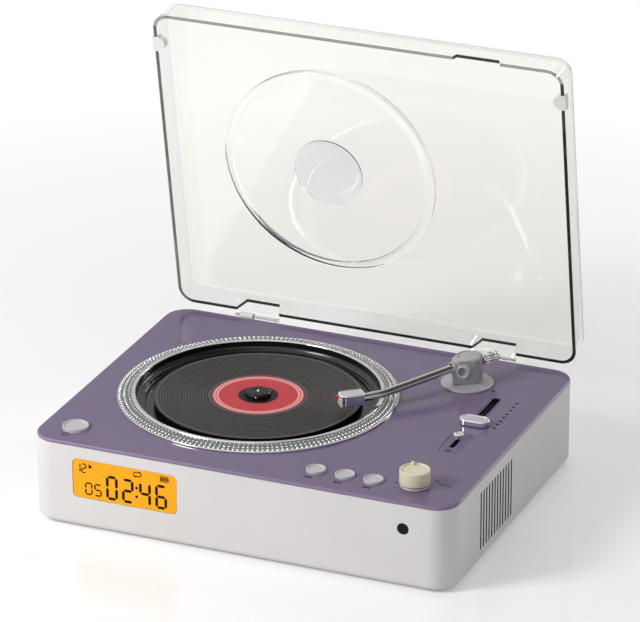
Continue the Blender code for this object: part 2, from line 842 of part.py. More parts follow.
# Well: the black tray that the disc turns in, with a ledge, a hub hole and a pickup slot
def make_well():
    rim_top = deck_top + ring_crest_height - ring_lip_thickness - fit_gap
    ledge = deck_top - well_ledge_drop
    outer = ring_inner_radius + well_wall
    flange = ring_outer_radius + well_wall
    flange_top = deck_underside - fit_gap
    flange_bottom = flange_top - well_wall
    profile = [(ring_inner_radius, rim_top), (outer, rim_top), (outer, flange_top),
               (flange, flange_top), (flange, flange_bottom),
               (outer, flange_bottom), (outer, ledge - well_floor_thickness),
               (well_ledge_radius + well_floor_thickness, ledge - well_floor_thickness),
               (well_ledge_radius, well_floor_bottom), (well_hole_radius, well_floor_bottom),
               (well_hole_radius, well_floor_top), (well_ledge_radius - fit_gap, well_floor_top),
               (well_ledge_radius, ledge), (ring_inner_radius - fit_gap, ledge)]
    mesh = turned_mesh("disc_well", profile, large_segments, closed=True)
    well = add_piece("disc_well", mesh, "black_gloss", (disc_centre_x, disc_centre_y, 0), parent=root)
    length = sled_travel + lens_block_size + 2 * well_slot_margin
    slot = flat_solid("pickup_slot", [rounded_outline(length, well_slot_width, well_slot_corner)],
                      well_floor_thickness + 2 * cut_overrun)
    cut(well, add_piece("pickup_slot", slot, None,
                        (disc_centre_x - sled_start - sled_travel / 2, disc_centre_y,
                         well_floor_bottom - cut_overrun), parent=root))
    return well


# Spindle: the disc, the hub that carries it, and the motor below
def make_spindle():
    disc_top = deck_top - disc_drop
    disc_bottom = disc_top - disc_thickness
    spindle = add_empty("spindle_axis", (disc_centre_x, disc_centre_y, disc_bottom), root)
    disc_profile = [(disc_hole_radius, disc_thickness), (disc_radius, disc_thickness),
                    (disc_radius, 0), (disc_hole_radius, 0)]
    disc = turned_mesh("compact_disc", disc_profile, large_segments, closed=True)
    add_piece("compact_disc", disc, "disc_dark", parent=spindle)
    boss = disc_hole_radius - fit_gap
    hub_top = disc_thickness + hub_rise
    hub_profile = [(0, hub_top), (boss - hub_chamfer, hub_top), (boss, hub_top - hub_chamfer),
                   (boss, -fit_gap), (hub_platform_radius, -fit_gap),
                   (hub_platform_radius, -fit_gap - hub_platform_thickness),
                   (spindle_shaft_radius, -fit_gap - hub_platform_thickness),
                   (spindle_shaft_radius, -fit_gap - hub_platform_thickness - spindle_shaft_length),
                   (0, -fit_gap - hub_platform_thickness - spindle_shaft_length)]
    add_piece("spindle_hub", turned_mesh("spindle_hub", hub_profile), "black_matt", parent=spindle)
    chassis_bottom = deck_top - chassis_drop - chassis_thickness
    motor_top = chassis_bottom - fit_gap
    motor_bottom = motor_top - spindle_motor_height
    motor_profile = [(spindle_motor_bore, motor_top), (spindle_motor_radius, motor_top),
                     (spindle_motor_radius, motor_bottom), (spindle_motor_bore, motor_bottom)]
    motor = turned_mesh("spindle_motor", motor_profile, small_segments, closed=True)
    add_piece("spindle_motor", motor, "steel", (disc_centre_x, disc_centre_y, 0), parent=root)


# Mechanism: a chassis hung from the well, two guide rods, and the sled with its gear and motor
def make_mechanism():
    top = deck_top - chassis_drop
    centre_x = disc_centre_x + chassis_back_reach - chassis_length / 2
    window_x = disc_centre_x - sled_start - sled_travel / 2
    plate = flat_solid("mechanism_chassis", [
        rounded_outline(chassis_length, chassis_width, chassis_post_inset, centre_x, disc_centre_y,
                        round_steps),
        rounded_outline(chassis_window_length, chassis_window_width, chassis_post_radius,
                        window_x, disc_centre_y, 2),
        circle_outline(spindle_motor_bore + fit_gap, tiny_segments, disc_centre_x, disc_centre_y)],
        chassis_thickness)
    chassis = add_piece("mechanism_chassis", plate, "black_matt", (0, 0, top - chassis_thickness),
                        parent=root)
    post_places = [(centre_x + x, disc_centre_y + y) for x, y in
                   corner_places(chassis_length / 2 - chassis_post_inset,
                                 chassis_width / 2 - chassis_post_inset)]
    posts = flat_solid("chassis_posts", [circle_outline(chassis_post_radius, tiny_segments, x, y)
                                         for x, y in post_places],
                       well_floor_bottom - fit_gap - top + chassis_thickness / 2)
    join(chassis, add_piece("chassis_posts", posts, None, (0, 0, top - chassis_thickness / 2),
                            parent=root))
    rod_z = deck_top - rod_drop
    rod_length = chassis_window_length + 2 * rod_block_length - 2 * fit_gap
    block_z = top - chassis_thickness - rod_block_height / 2 + chassis_thickness / 2
    for side_name, side in (("front", -1), ("back", 1)):
        rod_y = disc_centre_y + side * rod_spacing / 2
        for end in (-1, 1):
            block_x = window_x + end * (chassis_window_length / 2 + rod_block_length / 2)
            block = block_mesh("rod_block", rod_block_length, rod_block_width,
                               rod_block_height + chassis_thickness)
            join(chassis, add_piece("rod_block_%s_%d" % (side_name, end + 1), block, None,
                                    (block_x, rod_y, block_z), parent=root))
        bore = cylinder_mesh("rod_bore", rod_bore_radius, rod_length + 2 * fit_gap, tiny_segments)
        cut(chassis, add_piece("rod_bore_" + side_name, bore, None,
                               (window_x - rod_length / 2 - fit_gap, rod_y, rod_z),
                               (0, math.pi / 2, 0), root))
        rod = cylinder_mesh("guide_rod_" + side_name, rod_radius, rod_length, tiny_segments)
        add_piece("guide_rod_" + side_name, rod, "steel", (window_x - rod_length / 2, rod_y, rod_z),
                  (0, math.pi / 2, 0), root)
    make_sled(rod_z)


def make_sled(rod_z):
    sled_x = disc_centre_x - sled_start
    sled_axis = add_empty("sled_axis", (sled_x, disc_centre_y, rod_z), root)
    body = block_mesh("pickup_sled", sled_length, sled_width, sled_height)
    sled = add_piece("pickup_sled", body, "black_matt", parent=sled_axis)
    lens_top = deck_top - disc_drop - disc_thickness - lens_gap - rod_z
    block_height = lens_top - lens_block_base
    block = block_mesh("lens_block", lens_block_size, lens_block_size, block_height)
    join(sled, add_piece("lens_block", block, None,
                         (0, 0, lens_block_base + block_height / 2 - lens_gap), parent=sled_axis))
    lens = cylinder_mesh("lens_mount", lens_radius, lens_gap * 2, tiny_segments)
    join(sled, add_piece("lens_mount", lens, None, (0, 0, lens_top - lens_gap * 2),
                         parent=sled_axis))
    rack = flat_solid("rack", [rack_outline()], rack_height)
    join(sled, add_piece("rack", rack, None, (0, 0, -rack_drop - rack_height / 2),
                         parent=sled_axis))
    tongue = block_mesh("rack_tongue", sled_length / 2, rack_width, rack_height)
    join(sled, add_piece("rack_tongue", tongue, None, (0, sled_width / 2, -rack_drop),
                         parent=sled_axis))
    bore_reach = sled_length + 2 * cut_overrun
    for side_name, side in (("front", -1), ("back", 1)):
        bore = cylinder_mesh("sled_bore", rod_bore_radius, bore_reach, tiny_segments)
        cut(sled, add_piece("sled_bore_" + side_name, bore, None,
                            (-bore_reach / 2, side * rod_spacing / 2, 0), (0, math.pi / 2, 0),
                            sled_axis))
    make_pinion(sled_x, rod_z - rack_drop)


# The rack's plan: a straight back, and teeth that a tooth of the pinion falls between at rest
def rack_outline():
    pitch = math.tau * pinion_radius / pinion_teeth
    back = sled_width / 2 + fit_gap / 2
    root = sled_width / 2 + rack_width
    count = math.ceil(sled_travel / pitch) + 1
    middles = [-sled_travel / 2 + (tooth - 0.5) * pitch for tooth in range(count)]
    outline = [(middles[-1] + pitch, back), (middles[0] - pitch, back), (middles[0] - pitch, root)]
    for middle in middles:
        for share, reach in zip(rack_tooth_shares, (0, tooth_height, tooth_height, 0)):
            outline.append((middle + share * pitch, root + reach))
    outline.append((middles[-1] + pitch, root))
    return outline


# The pinion runs in the rack: its tips and its roots stay clear of it by the usual gap
def make_pinion(sled_x, level):
    tip_radius = pinion_radius + tooth_height / 2
    root_radius = pinion_radius - tooth_height / 2
    outline = []
    for tooth in range(pinion_teeth):
        for share, radius in zip(pinion_tooth_shares,
                                 (root_radius, tip_radius, tip_radius, root_radius)):
            angle = math.tau * (tooth + share) / pinion_teeth
            outline.append((radius * math.cos(angle), radius * math.sin(angle)))
    pinion_y = disc_centre_y + sled_width / 2 + rack_width + fit_gap + tip_radius
    pinion_x = sled_x - sled_travel / 2
    axis = add_empty("pinion_axis", (pinion_x, pinion_y, level), root)
    gear = flat_solid("drive_gear", [outline, circle_outline(motor_shaft_radius + fit_gap,
                                                             tiny_segments)], pinion_thickness)
    add_piece("drive_gear", gear, "gear_white", (0, 0, -pinion_thickness / 2), parent=axis)
    motor_top = level - pinion_thickness / 2 - fit_gap
    motor = cylinder_mesh("sled_motor", sled_motor_radius, sled_motor_length, small_segments)
    motor_piece = add_piece("sled_motor", motor, "steel",
                            (pinion_x, pinion_y, motor_top - sled_motor_length), parent=root)
    shaft_top = deck_top - chassis_drop - chassis_thickness - fit_gap
    shaft = cylinder_mesh("sled_motor_shaft", motor_shaft_radius,
                          shaft_top - motor_top + fit_gap, tiny_segments)
    join(motor_piece, add_piece("sled_motor_shaft", shaft, None,
                                (pinion_x, pinion_y, motor_top - fit_gap), parent=root))


# Tonearm: directions in plan are angles from the front, towards the left
def arm_direction(angle):
    return Vector((-math.sin(angle), -math.cos(angle), 0))


def arm_path():
    points = []
    along = arm_direction(arm_plan_angle)
    points.append(along * arm_tube_start)
    bend_start = along * arm_straight_run
    points.append(bend_start)
    steps = corner_segments
    here = bend_start
    for step in range(steps):
        angle = arm_plan_angle + arm_bend_angle * (step + 0.5) / steps
        here = here + arm_direction(angle) * (arm_bend_radius * arm_bend_angle / steps)
        points.append(here)
    last = here + arm_direction(arm_plan_angle + arm_bend_angle) * arm_last_run
    points.append(last)
    lengths = [0.0]
    for first, second in zip(points, points[1:]):
        lengths.append(lengths[-1] + (second - first).length)
    placed = []
    for point, length in zip(points, lengths):
        fall = arm_drop * length / lengths[-1]
        placed.append(Vector((point.x, point.y, arm_axis_height - fall)))
    return placed


def tube_mesh(name, points, radius):
    curve = bpy.data.curves.new(name, "CURVE")
    curve.dimensions = "3D"
    curve.bevel_depth = radius
    curve.bevel_resolution = round_steps
    curve.use_fill_caps = True
    spline = curve.splines.new("POLY")
    spline.points.add(len(points) - 1)
    for point, place in zip(spline.points, points):
        point.co = (place.x, place.y, place.z, 1)
    curve_object = bpy.data.objects.new(name, curve)
    bpy.context.scene.collection.objects.link(curve_object)
    depsgraph = bpy.context.evaluated_depsgraph_get()
    mesh = bpy.data.meshes.new_from_object(curve_object.evaluated_get(depsgraph))
    bpy.data.objects.remove(curve_object, do_unlink=True)
    bpy.data.curves.remove(curve)
    edit = bmesh.new()
    edit.from_mesh(mesh)
    bmesh.ops.remove_doubles(edit, verts=edit.verts, dist=weld_distance)
    bmesh.ops.recalc_face_normals(edit, faces=edit.faces)
    edit.to_mesh(mesh)
    edit.free()
    mesh.name = name
    mesh.materials.clear()
    smooth_shading(mesh)
    return mesh


def make_arm_base():
    foot = fit_gap
    profile = [(arm_shaft_radius + fit_gap, arm_base_rise), (arm_head_radius, arm_base_rise),
               (arm_base_radius - arm_base_round, arm_base_edge),
               (arm_base_radius, arm_base_edge - arm_base_round), (arm_base_radius, foot),
               (arm_stem_radius, foot), (arm_stem_radius, -arm_stem_depth),
               (arm_shaft_radius + fit_gap, -arm_stem_depth)]
    mesh = turned_mesh("tonearm_base", profile, medium_segments, closed=True)
    add_piece("tonearm_base", mesh, "arm_grey", (pivot_x, pivot_y, deck_top), parent=root)


# The turning head is pear-shaped in plan: round at the back and narrow where the tube leaves it
def head_outline():
    back = -arm_head_offset
    front = arm_nose_reach
    spread = math.acos((arm_head_radius - arm_nose_radius) / (front - back))
    nose = arc_points(front, 0, arm_nose_radius, -spread, spread, head_nose_steps)
    rear = arc_points(back, 0, arm_head_radius, spread, math.tau - spread,
                      head_back_steps)
    return nose + rear


def make_arm():
    axis = add_empty("tonearm_axis", (pivot_x, pivot_y, deck_top), root)
    turn = -math.pi / 2 - arm_plan_angle
    head_bottom = arm_base_rise + fit_gap
    mesh = flat_solid("tonearm_head", [head_outline()], arm_head_top - head_bottom)
    round_edges(mesh, at_height(arm_head_top - head_bottom), arm_head_round)
    smooth_shading(mesh)
    head = add_piece("tonearm_head", mesh, "arm_grey", (0, 0, head_bottom), (0, 0, turn), axis)
    shaft = cylinder_mesh("head_shaft", arm_shaft_radius,
                          arm_stem_depth + head_bottom + cut_overrun, small_segments)
    join(head, add_piece("head_shaft", shaft, None, (0, 0, -arm_stem_depth), parent=axis))
    collar = cylinder_mesh("arm_collar", arm_collar_radius, arm_collar_reach, small_segments)
    axis_turn = (math.pi / 2, 0, -arm_plan_angle)
    join(head, add_piece("arm_collar", collar, None, (0, 0, arm_axis_height), axis_turn, axis))
    dial = cylinder_mesh("dial_boss", dial_radius, dial_reach, small_segments)
    dial_turn = (math.pi / 2, 0, -dial_angle)
    join(head, add_piece("dial_boss", dial, None, (0, 0, dial_height), dial_turn, axis))
    socket_depth = arm_collar_reach - arm_tube_start + fit_gap + cut_overrun
    socket = cylinder_mesh("tube_socket", arm_tube_radius + fit_gap, socket_depth, small_segments)
    start = arm_direction(arm_plan_angle) * (arm_tube_start - fit_gap)
    fall_angle = math.atan2(arm_drop, arm_straight_run + arm_last_run
                            + arm_bend_radius * arm_bend_angle - arm_tube_start)
    cut(head, add_piece("tube_socket", socket, None, (start.x, start.y, arm_axis_height),
                        (math.pi / 2 + fall_angle, 0, axis_turn[2]), axis))
    bore = cylinder_mesh("dial_bore", dial_bore_radius, dial_bore_depth + cut_overrun, small_segments)
    bore_start = arm_direction(dial_angle) * (dial_reach - dial_bore_depth)
    cut(head, add_piece("dial_bore", bore, None, (bore_start.x, bore_start.y, dial_height),
                        dial_turn, axis))
    recess = cylinder_mesh("cap_recess", arm_cap_radius + fit_gap, arm_cap_depth + fit_gap
                           + cut_overrun, medium_segments)
    back = arm_direction(arm_plan_angle) * -arm_head_offset
    cut(head, add_piece("cap_recess", recess, None,
                        (back.x, back.y, arm_head_top - arm_cap_depth - fit_gap), parent=axis))
    cap = cylinder_mesh("tonearm_cap", arm_cap_radius, arm_cap_depth, medium_segments)
    add_piece("tonearm_cap", cap, "arm_grey", (back.x, back.y, arm_head_top - arm_cap_depth),
              parent=axis)
    add_piece("tonearm_tube", tube_mesh("tonearm_tube", arm_path(), arm_tube_radius), "chrome",
              parent=axis)
    rear = arm_direction(arm_plan_angle) * -weight_start
    weight_length = weight_end - weight_start
    weight = cylinder_mesh("tonearm_counterweight", weight_radius, weight_length, small_segments)
    round_edges(weight, at_height(weight_length), weight_round)
    add_piece("tonearm_counterweight", weight, "chrome", (rear.x, rear.y, arm_axis_height),
              (math.pi / 2, 0, math.pi - arm_plan_angle), axis)
    make_headshell(axis)


def make_headshell(axis):
    tube_end = arm_path()[-1]
    angle = arm_plan_angle + arm_bend_angle
    centre = tube_end + arm_direction(angle) * (fit_gap + headshell_length / 2)
    turn = (0, 0, -math.pi / 2 - angle)
    body_top = headshell_top - headshell_cap_thickness - fit_gap
    mesh = flat_solid("headshell_body", [rounded_outline(headshell_length, headshell_width,
                                                         headshell_body_corner,
                                                         steps=round_steps)],
                      body_top - headshell_bottom)
    body = add_piece("headshell_body", mesh, "deck_lilac", (centre.x, centre.y, headshell_bottom),
                     turn, axis)
    slot = block_mesh("headshell_slot", headshell_slot_depth + cut_overrun, headshell_slot_width,
                      headshell_top - headshell_bottom)
    slot_centre = centre + arm_direction(angle) * ((headshell_length - headshell_slot_depth
                                                    + cut_overrun) / 2)
    slot_z = headshell_bottom + (headshell_top - headshell_bottom) / 2 - 2 * cut_overrun
    cut(body, add_piece("headshell_slot", slot, None, (slot_centre.x, slot_centre.y, slot_z),
                        turn, axis))
    over = 2 * headshell_cap_overhang
    cap_mesh = flat_solid("headshell_cap", [rounded_outline(headshell_length + over,
                                                            headshell_width + over,
                                                            headshell_corner,
                                                            steps=slot_end_steps)],
                          headshell_cap_thickness)
    round_edges(cap_mesh, at_height(headshell_cap_thickness), headshell_cap_round)
    smooth_shading(cap_mesh)
    add_piece("headshell_cap", cap_mesh, "button_grey",
              (centre.x, centre.y, headshell_top - headshell_cap_thickness), turn, axis)
    tip_reach = headshell_length / 2 + finger_tip_radius + fit_gap
    side_step = Vector((math.cos(angle), -math.sin(angle), 0)) * -finger_tip_side
    tip_place = centre + arm_direction(angle) * tip_reach + side_step
    tip = cylinder_mesh("stylus_tip", finger_tip_radius, finger_tip_height, tiny_segments)
    round_edges(tip, at_height(0), finger_tip_radius / 2)
    add_piece("stylus_tip", tip, "tip_red",
              (tip_place.x, tip_place.y,
               headshell_top - headshell_cap_thickness - fit_gap - finger_tip_height),
              parent=axis)


# Push buttons: a dished cap above the deck, a flange that holds it in, and a stem on its switch
def button_mesh(name, radius, rise):
    dish_radius = radius - button_rim
    flange_top = -deck_thickness - fit_gap
    flange_bottom = flange_top - button_flange_thickness
    profile = [(0, rise - button_dish), (dish_radius, rise - button_dish),
               (dish_radius + button_dish, rise), (radius - button_dish / 2, rise),
               (radius, rise - button_dish / 2), (radius, flange_top),
               (radius + button_flange, flange_top), (radius + button_flange, flange_bottom),
               (button_stem_radius, flange_bottom), (button_stem_radius, -button_stem_depth),
               (0, -button_stem_depth)]
    return turned_mesh(name, profile, small_segments)


def make_buttons():
    for name, x in zip(button_names, button_positions_x):
        add_piece(name, button_mesh(name, button_radius, button_rise), "button_grey",
                  (x, button_row_y, deck_top), parent=root)
    add_piece("button_power", button_mesh("button_power", power_radius, power_rise), "button_grey",
              (power_x, button_row_y, deck_top), parent=root)
    board_top = deck_top - key_board_drop
    for name, (first, last, places) in key_board_spans().items():
        board = block_mesh(name, last - first, key_board_width, key_board_thickness)
        piece = add_piece(name, board, "board_green",
                          ((first + last) / 2, button_row_y, board_top - key_board_thickness / 2),
                          parent=root)
        for index, x in enumerate(places):
            switch = block_mesh("switch", switch_size, switch_size, switch_height
                                + key_board_thickness / 2)
            join(piece, add_piece("%s_switch_%d" % (name, index), switch, None,
                                  (x, button_row_y, board_top
                                   + (switch_height - key_board_thickness / 2) / 2), parent=root))


# Volume knob: a dished cream cap with a nub at its pointer, over a narrower skirt and a shaft
def make_knob():
    axis = add_empty("volume_axis", (knob_x, knob_y, deck_top), root)
    dish_radius = knob_radius - knob_rim
    body_bottom = fit_gap + knob_skirt_height + fit_gap
    profile = [(0, knob_top - knob_dish), (dish_radius, knob_top - knob_dish),
               (dish_radius + knob_edge_round / 2, knob_top),
               (knob_radius - knob_edge_round, knob_top),
               (knob_radius, knob_top - knob_edge_round), (knob_radius, body_bottom),
               (knob_shaft_radius, body_bottom), (knob_shaft_radius, -knob_shaft_depth),
               (0, -knob_shaft_depth)]
    knob = add_piece("volume_knob", turned_mesh("volume_knob", profile), "knob_cream", parent=axis)
    nub_height = knob_dish + knob_nub_rise
    nub = cylinder_mesh("knob_nub", knob_nub_radius, nub_height + fit_gap, tiny_segments)
    nub_reach = dish_radius - knob_nub_radius / 2
    join(knob, add_piece("knob_nub", nub, None,
                         (nub_reach * math.cos(knob_nub_angle), nub_reach * math.sin(knob_nub_angle),
                          knob_top - knob_dish - fit_gap), parent=axis))
    skirt_top = fit_gap + knob_skirt_height
    skirt_profile = [(knob_shaft_radius + fit_gap, skirt_top), (knob_skirt_radius, skirt_top),
                     (knob_skirt_radius, fit_gap), (knob_shaft_radius + fit_gap, fit_gap)]
    skirt = turned_mesh("volume_knob_skirt", skirt_profile, medium_segments, closed=True)
    add_piece("volume_knob_skirt", skirt, "button_grey", parent=axis)
    body = block_mesh("volume_encoder", encoder_size, encoder_size, encoder_height)
    encoder = add_piece("volume_encoder", body, "steel",
                        (knob_x, knob_y, hang_level - encoder_height / 2), parent=root)
    bore = cylinder_mesh("encoder_bore", knob_shaft_radius + fit_gap,
                         knob_shaft_depth - deck_thickness + cut_overrun, small_segments)
    cut(encoder, add_piece("encoder_bore", bore, None,
                           (knob_x, knob_y, deck_top - knob_shaft_depth - fit_gap), parent=root))


# Speed slider: an oval knob on a neck that runs in the deck's slot and the fader below
def make_slider():
    axis = add_empty("slider_axis", (slider_x, slider_rest_y, deck_top), root)
    mesh = flat_solid("slider_knob", [capsule_outline(slider_length, slider_width)], slider_height)
    round_edges(mesh, at_height(slider_height), slider_round)
    smooth_shading(mesh)
    knob = add_piece("slider_knob", mesh, "chrome", (0, 0, 2 * fit_gap), parent=axis)
    neck_height = slider_neck_depth + 2 * fit_gap + slider_round
    neck = flat_solid("slider_neck", [capsule_outline(slider_slot_width - 2 * fit_gap,
                                                      slider_neck_length,
                                                      steps=slot_end_steps)], neck_height)
    join(knob, add_piece("slider_neck", neck, None, (0, 0, -slider_neck_depth), parent=axis))
    length = slider_slot_length() + 2 * fader_end
    body = block_mesh("slider_fader", fader_width, length, fader_height)
    fader = add_piece("slider_fader", body, "steel",
                      (slider_x, slider_slot_middle(), hang_level - fader_height / 2), parent=root)
    groove_depth = slider_neck_depth - deck_thickness + fit_gap
    groove = block_mesh("fader_groove", slider_slot_width, slider_slot_length(),
                        groove_depth + cut_overrun)
    cut(fader, add_piece("fader_groove", groove, None,
                         (slider_x, slider_slot_middle(),
                          deck_underside - groove_depth + (groove_depth + cut_overrun) / 2),
                         parent=root))


# Mode switch: a small chrome cap that slides along a slot in its own plate
def make_mode_switch():
    slot_length = mode_travel + 2 * mode_stem_radius + 2 * fit_gap
    slot_width_here = 2 * mode_stem_radius + 2 * fit_gap
    slot_y = mode_rest_y - mode_travel / 2
    plate = flat_solid("mode_plate", [capsule_outline(mode_plate_width, mode_plate_length,
                                                      mode_x, mode_y),
                                      capsule_outline(slot_width_here, slot_length, mode_x,
                                                      slot_y, slot_end_steps)], deck_thickness)
    add_piece("mode_plate", plate, "deck_lilac", (0, 0, deck_underside), parent=root)
    axis = add_empty("mode_axis", (mode_x, mode_rest_y, deck_top), root)
    cap_top = mode_stem_rise + mode_cap_height
    profile = [(0, cap_top), (mode_cap_radius - mode_cap_round, cap_top),
               (mode_cap_radius, cap_top - mode_cap_height / 2),
               (mode_cap_radius - mode_cap_round, mode_stem_rise),
               (mode_stem_radius, mode_stem_rise), (mode_stem_radius, -mode_stem_depth),
               (0, -mode_stem_depth)]
    knob = turned_mesh("mode_switch_knob", profile, small_segments)
    add_piece("mode_switch_knob", knob, "chrome", parent=axis)
    body_length = mode_plate_length + 2 * mode_body_end
    body = block_mesh("mode_switch_body", mode_body_width + 2 * mode_body_side, body_length,
                      mode_body_height)
    switch = add_piece("mode_switch_body", body, "steel",
                       (mode_x, mode_y, hang_level - mode_body_height / 2), parent=root)
    groove_depth = mode_stem_depth - deck_thickness + fit_gap
    groove = flat_solid("mode_groove", [capsule_outline(slot_width_here, slot_length, mode_x,
                                                        slot_y, slot_end_steps)],
                        groove_depth + cut_overrun)
    cut(switch, add_piece("mode_groove", groove, None, (0, 0, deck_underside - groove_depth),
                          parent=root))


# Front wall pieces: the display behind its amber pane and the receiver behind its dark window
def make_front_pieces():
    pane = flat_solid("display_window", [rounded_outline(display_width - 2 * fit_gap,
                                                         display_height - 2 * fit_gap,
                                                         display_corner - fit_gap)], display_pane)
    add_piece("display_window", pane, "amber",
              (display_x, front_face + fit_gap + display_pane, display_z), (math.pi / 2, 0, 0), root)
    border = 2 * display_module_border
    module = block_mesh("display_module", display_width + border, display_module_thickness,
                        display_height + border)
    add_piece("display_module", module, "black_matt",
              (display_x, front_face + case_wall + fit_gap + display_module_thickness / 2,
               display_z), parent=root)
    window = cylinder_mesh("receiver_window", receiver_radius - fit_gap, display_pane, small_segments)
    add_piece("receiver_window", window, "black_gloss",
              (receiver_x, front_face + fit_gap + display_pane, receiver_z),
              (math.pi / 2, 0, 0), root)
    receiver = block_mesh("receiver", receiver_body, receiver_depth, receiver_body)
    add_piece("infrared_receiver", receiver, "black_matt",
              (receiver_x, front_face + case_wall + fit_gap + receiver_depth / 2, receiver_z),
              parent=root)


# Speakers: each frame stands against the inside of its slotted wall
def make_speakers():
    depth = speaker_frame_thickness + speaker_basket_depth + speaker_magnet_depth
    basket_end = speaker_frame_thickness + speaker_basket_depth
    profile = [(0, depth), (speaker_magnet_radius, depth), (speaker_magnet_radius, basket_end),
               (speaker_basket_radius, basket_end), (speaker_radius, speaker_frame_thickness),
               (speaker_radius, 0), (0, 0)]
    mesh = turned_mesh("speaker", profile, small_segments)
    inside = case_width / 2 - case_wall - fit_gap
    for side_name, side in (("left", -1), ("right", 1)):
        add_piece("speaker_" + side_name, mesh.copy(), "paper_black",
                  (side * inside, slot_centre_y, slot_centre_z),
                  (0, -side * math.pi / 2, 0), root)


# Main board on its posts, with the sockets that look out of the back wall, and the battery
def make_electronics():
    board = block_mesh("main_board", board_width, board_depth, board_thickness)
    add_piece("main_board", board, "board_green",
              (board_centre_x, board_centre_y(), board_height + board_thickness / 2), parent=root)
    level = board_height + board_thickness + fit_gap
    face = back_face - socket_set_back
    make_usb("usb_a_socket", usb_a_x, usb_a_width, usb_a_height, usb_a_length, level, face, False)
    make_usb("usb_c_socket", usb_c_x, usb_c_width, usb_c_height, usb_c_length, level, face, True)
    body_back = back_face - case_wall - fit_gap
    body = block_mesh("audio_jack", jack_body_width, jack_body_length, jack_body_width)
    centre_z = level + jack_body_width / 2
    jack = add_piece("audio_jack", body, "black_matt",
                     (jack_x, body_back - jack_body_length / 2, centre_z), parent=root)
    collar_reach = face - body_back + fit_gap
    collar = cylinder_mesh("jack_collar", jack_radius, collar_reach, small_segments)
    join(jack, add_piece("jack_collar", collar, None, (jack_x, face, centre_z),
                         (math.pi / 2, 0, 0), root))
    bore = cylinder_mesh("jack_bore", jack_bore_radius, jack_body_length, tiny_segments)
    cut(jack, add_piece("jack_bore", bore, None, (jack_x, face + cut_overrun, centre_z),
                        (math.pi / 2, 0, 0), root))
    pack = block_mesh("battery_pack", battery_width, battery_depth, battery_height, battery_round)
    smooth_shading(pack)
    add_piece("battery_pack", pack, "battery_blue",
              (battery_x, battery_y, case_inside_floor + fit_gap + battery_height / 2), parent=root)


def make_usb(name, x, width, height, length, level, face, round_ends):
    def shape(inset):
        if round_ends:
            return capsule_outline(width - 2 * inset, height - 2 * inset, steps=slot_end_steps)
        return rounded_outline(width - 2 * inset, height - 2 * inset, usb_shell, steps=1)
    mesh = flat_solid(name, [shape(0)], length)
    socket = add_piece(name, mesh, "steel", (x, face, level + height / 2), (math.pi / 2, 0, 0), root)
    mouth = flat_solid(name + "_mouth", [shape(usb_shell)], usb_mouth_depth + cut_overrun)
    cut(socket, add_piece(name + "_mouth", mouth, None,
                          (x, face + cut_overrun, level + height / 2), (math.pi / 2, 0, 0), root))


# Lid: everything on it is drawn closed, in the frame of the hinge pin, and opens with the empty
hinge_y = back_face + hinge_y_behind_case
hinge_z = deck_top + hinge_z_above_deck
lid_rim = deck_top + lid_rim_gap - hinge_z
lid_back = back_face - lid_rear_inset - hinge_y
lid_middle_y = lid_back - lid_length / 2
lid_top = lid_rim + lid_depth


def lid_block(name, width, length, corner, bottom, top, inset_at_top, round_width):
    mesh = flat_solid(name, [rounded_outline(width, length, corner)], top - bottom)
    for vertex in mesh.vertices:
        if vertex.co.z > (top - bottom) / 2:
            vertex.co.x *= 1 - 2 * inset_at_top / width
            vertex.co.y *= 1 - 2 * inset_at_top / length
    if round_width:
        round_edges(mesh, at_height(top - bottom), round_width, round_steps)
    smooth_shading(mesh)
    return mesh


def make_lid(lid_axis):
    outer = lid_block("lid_shell", lid_width, lid_length, lid_corner, lid_rim, lid_top,
                      lid_draft, lid_round)
    lid = add_piece("lid_shell", outer, "clear", (0, lid_middle_y, lid_rim), parent=lid_axis)
    inner_top = lid_top - lid_wall
    inner = lid_block("lid_hollow", lid_width - 2 * lid_wall, lid_length - 2 * lid_wall,
                      lid_corner - lid_wall, lid_rim - cut_overrun, inner_top, lid_draft,
                      lid_round - lid_wall / 2)
    cut(lid, add_piece("lid_hollow", inner, None, (0, lid_middle_y, lid_rim - cut_overrun),
                       parent=lid_axis))
    dish_x = lid_dish_x
    dish_y = lid_back - lid_dish_from_rim
    slope = (lid_dish_radius - lid_dish_floor_radius) / lid_dish_depth
    under_radius = lid_dish_floor_radius + slope * (lid_dish_depth + lid_wall / 2)
    under = cylinder_mesh("dish_under", lid_dish_floor_radius, lid_dish_depth + lid_wall / 2,
                          large_segments, under_radius)
    join(lid, add_piece("dish_under", under, None, (dish_x, dish_y, inner_top - lid_dish_depth),
                        parent=lid_axis))
    over_radius = lid_dish_floor_radius + slope * (lid_dish_depth + cut_overrun)
    over = cylinder_mesh("dish_over", lid_dish_floor_radius, lid_dish_depth + cut_overrun,
                         large_segments, over_radius)
    cut(lid, add_piece("dish_over", over, None, (dish_x, dish_y, lid_top - lid_dish_depth),
                       parent=lid_axis))
    cut_lid_edges(lid, lid_axis)
    disc = cylinder_mesh("lid_centre_disc", lid_disc_radius, lid_disc_thickness, medium_segments)
    add_piece("lid_centre_disc", disc, "clear_lilac",
              (dish_x, dish_y, inner_top - lid_dish_depth - fit_gap - lid_disc_thickness),
              parent=lid_axis)
    return lid


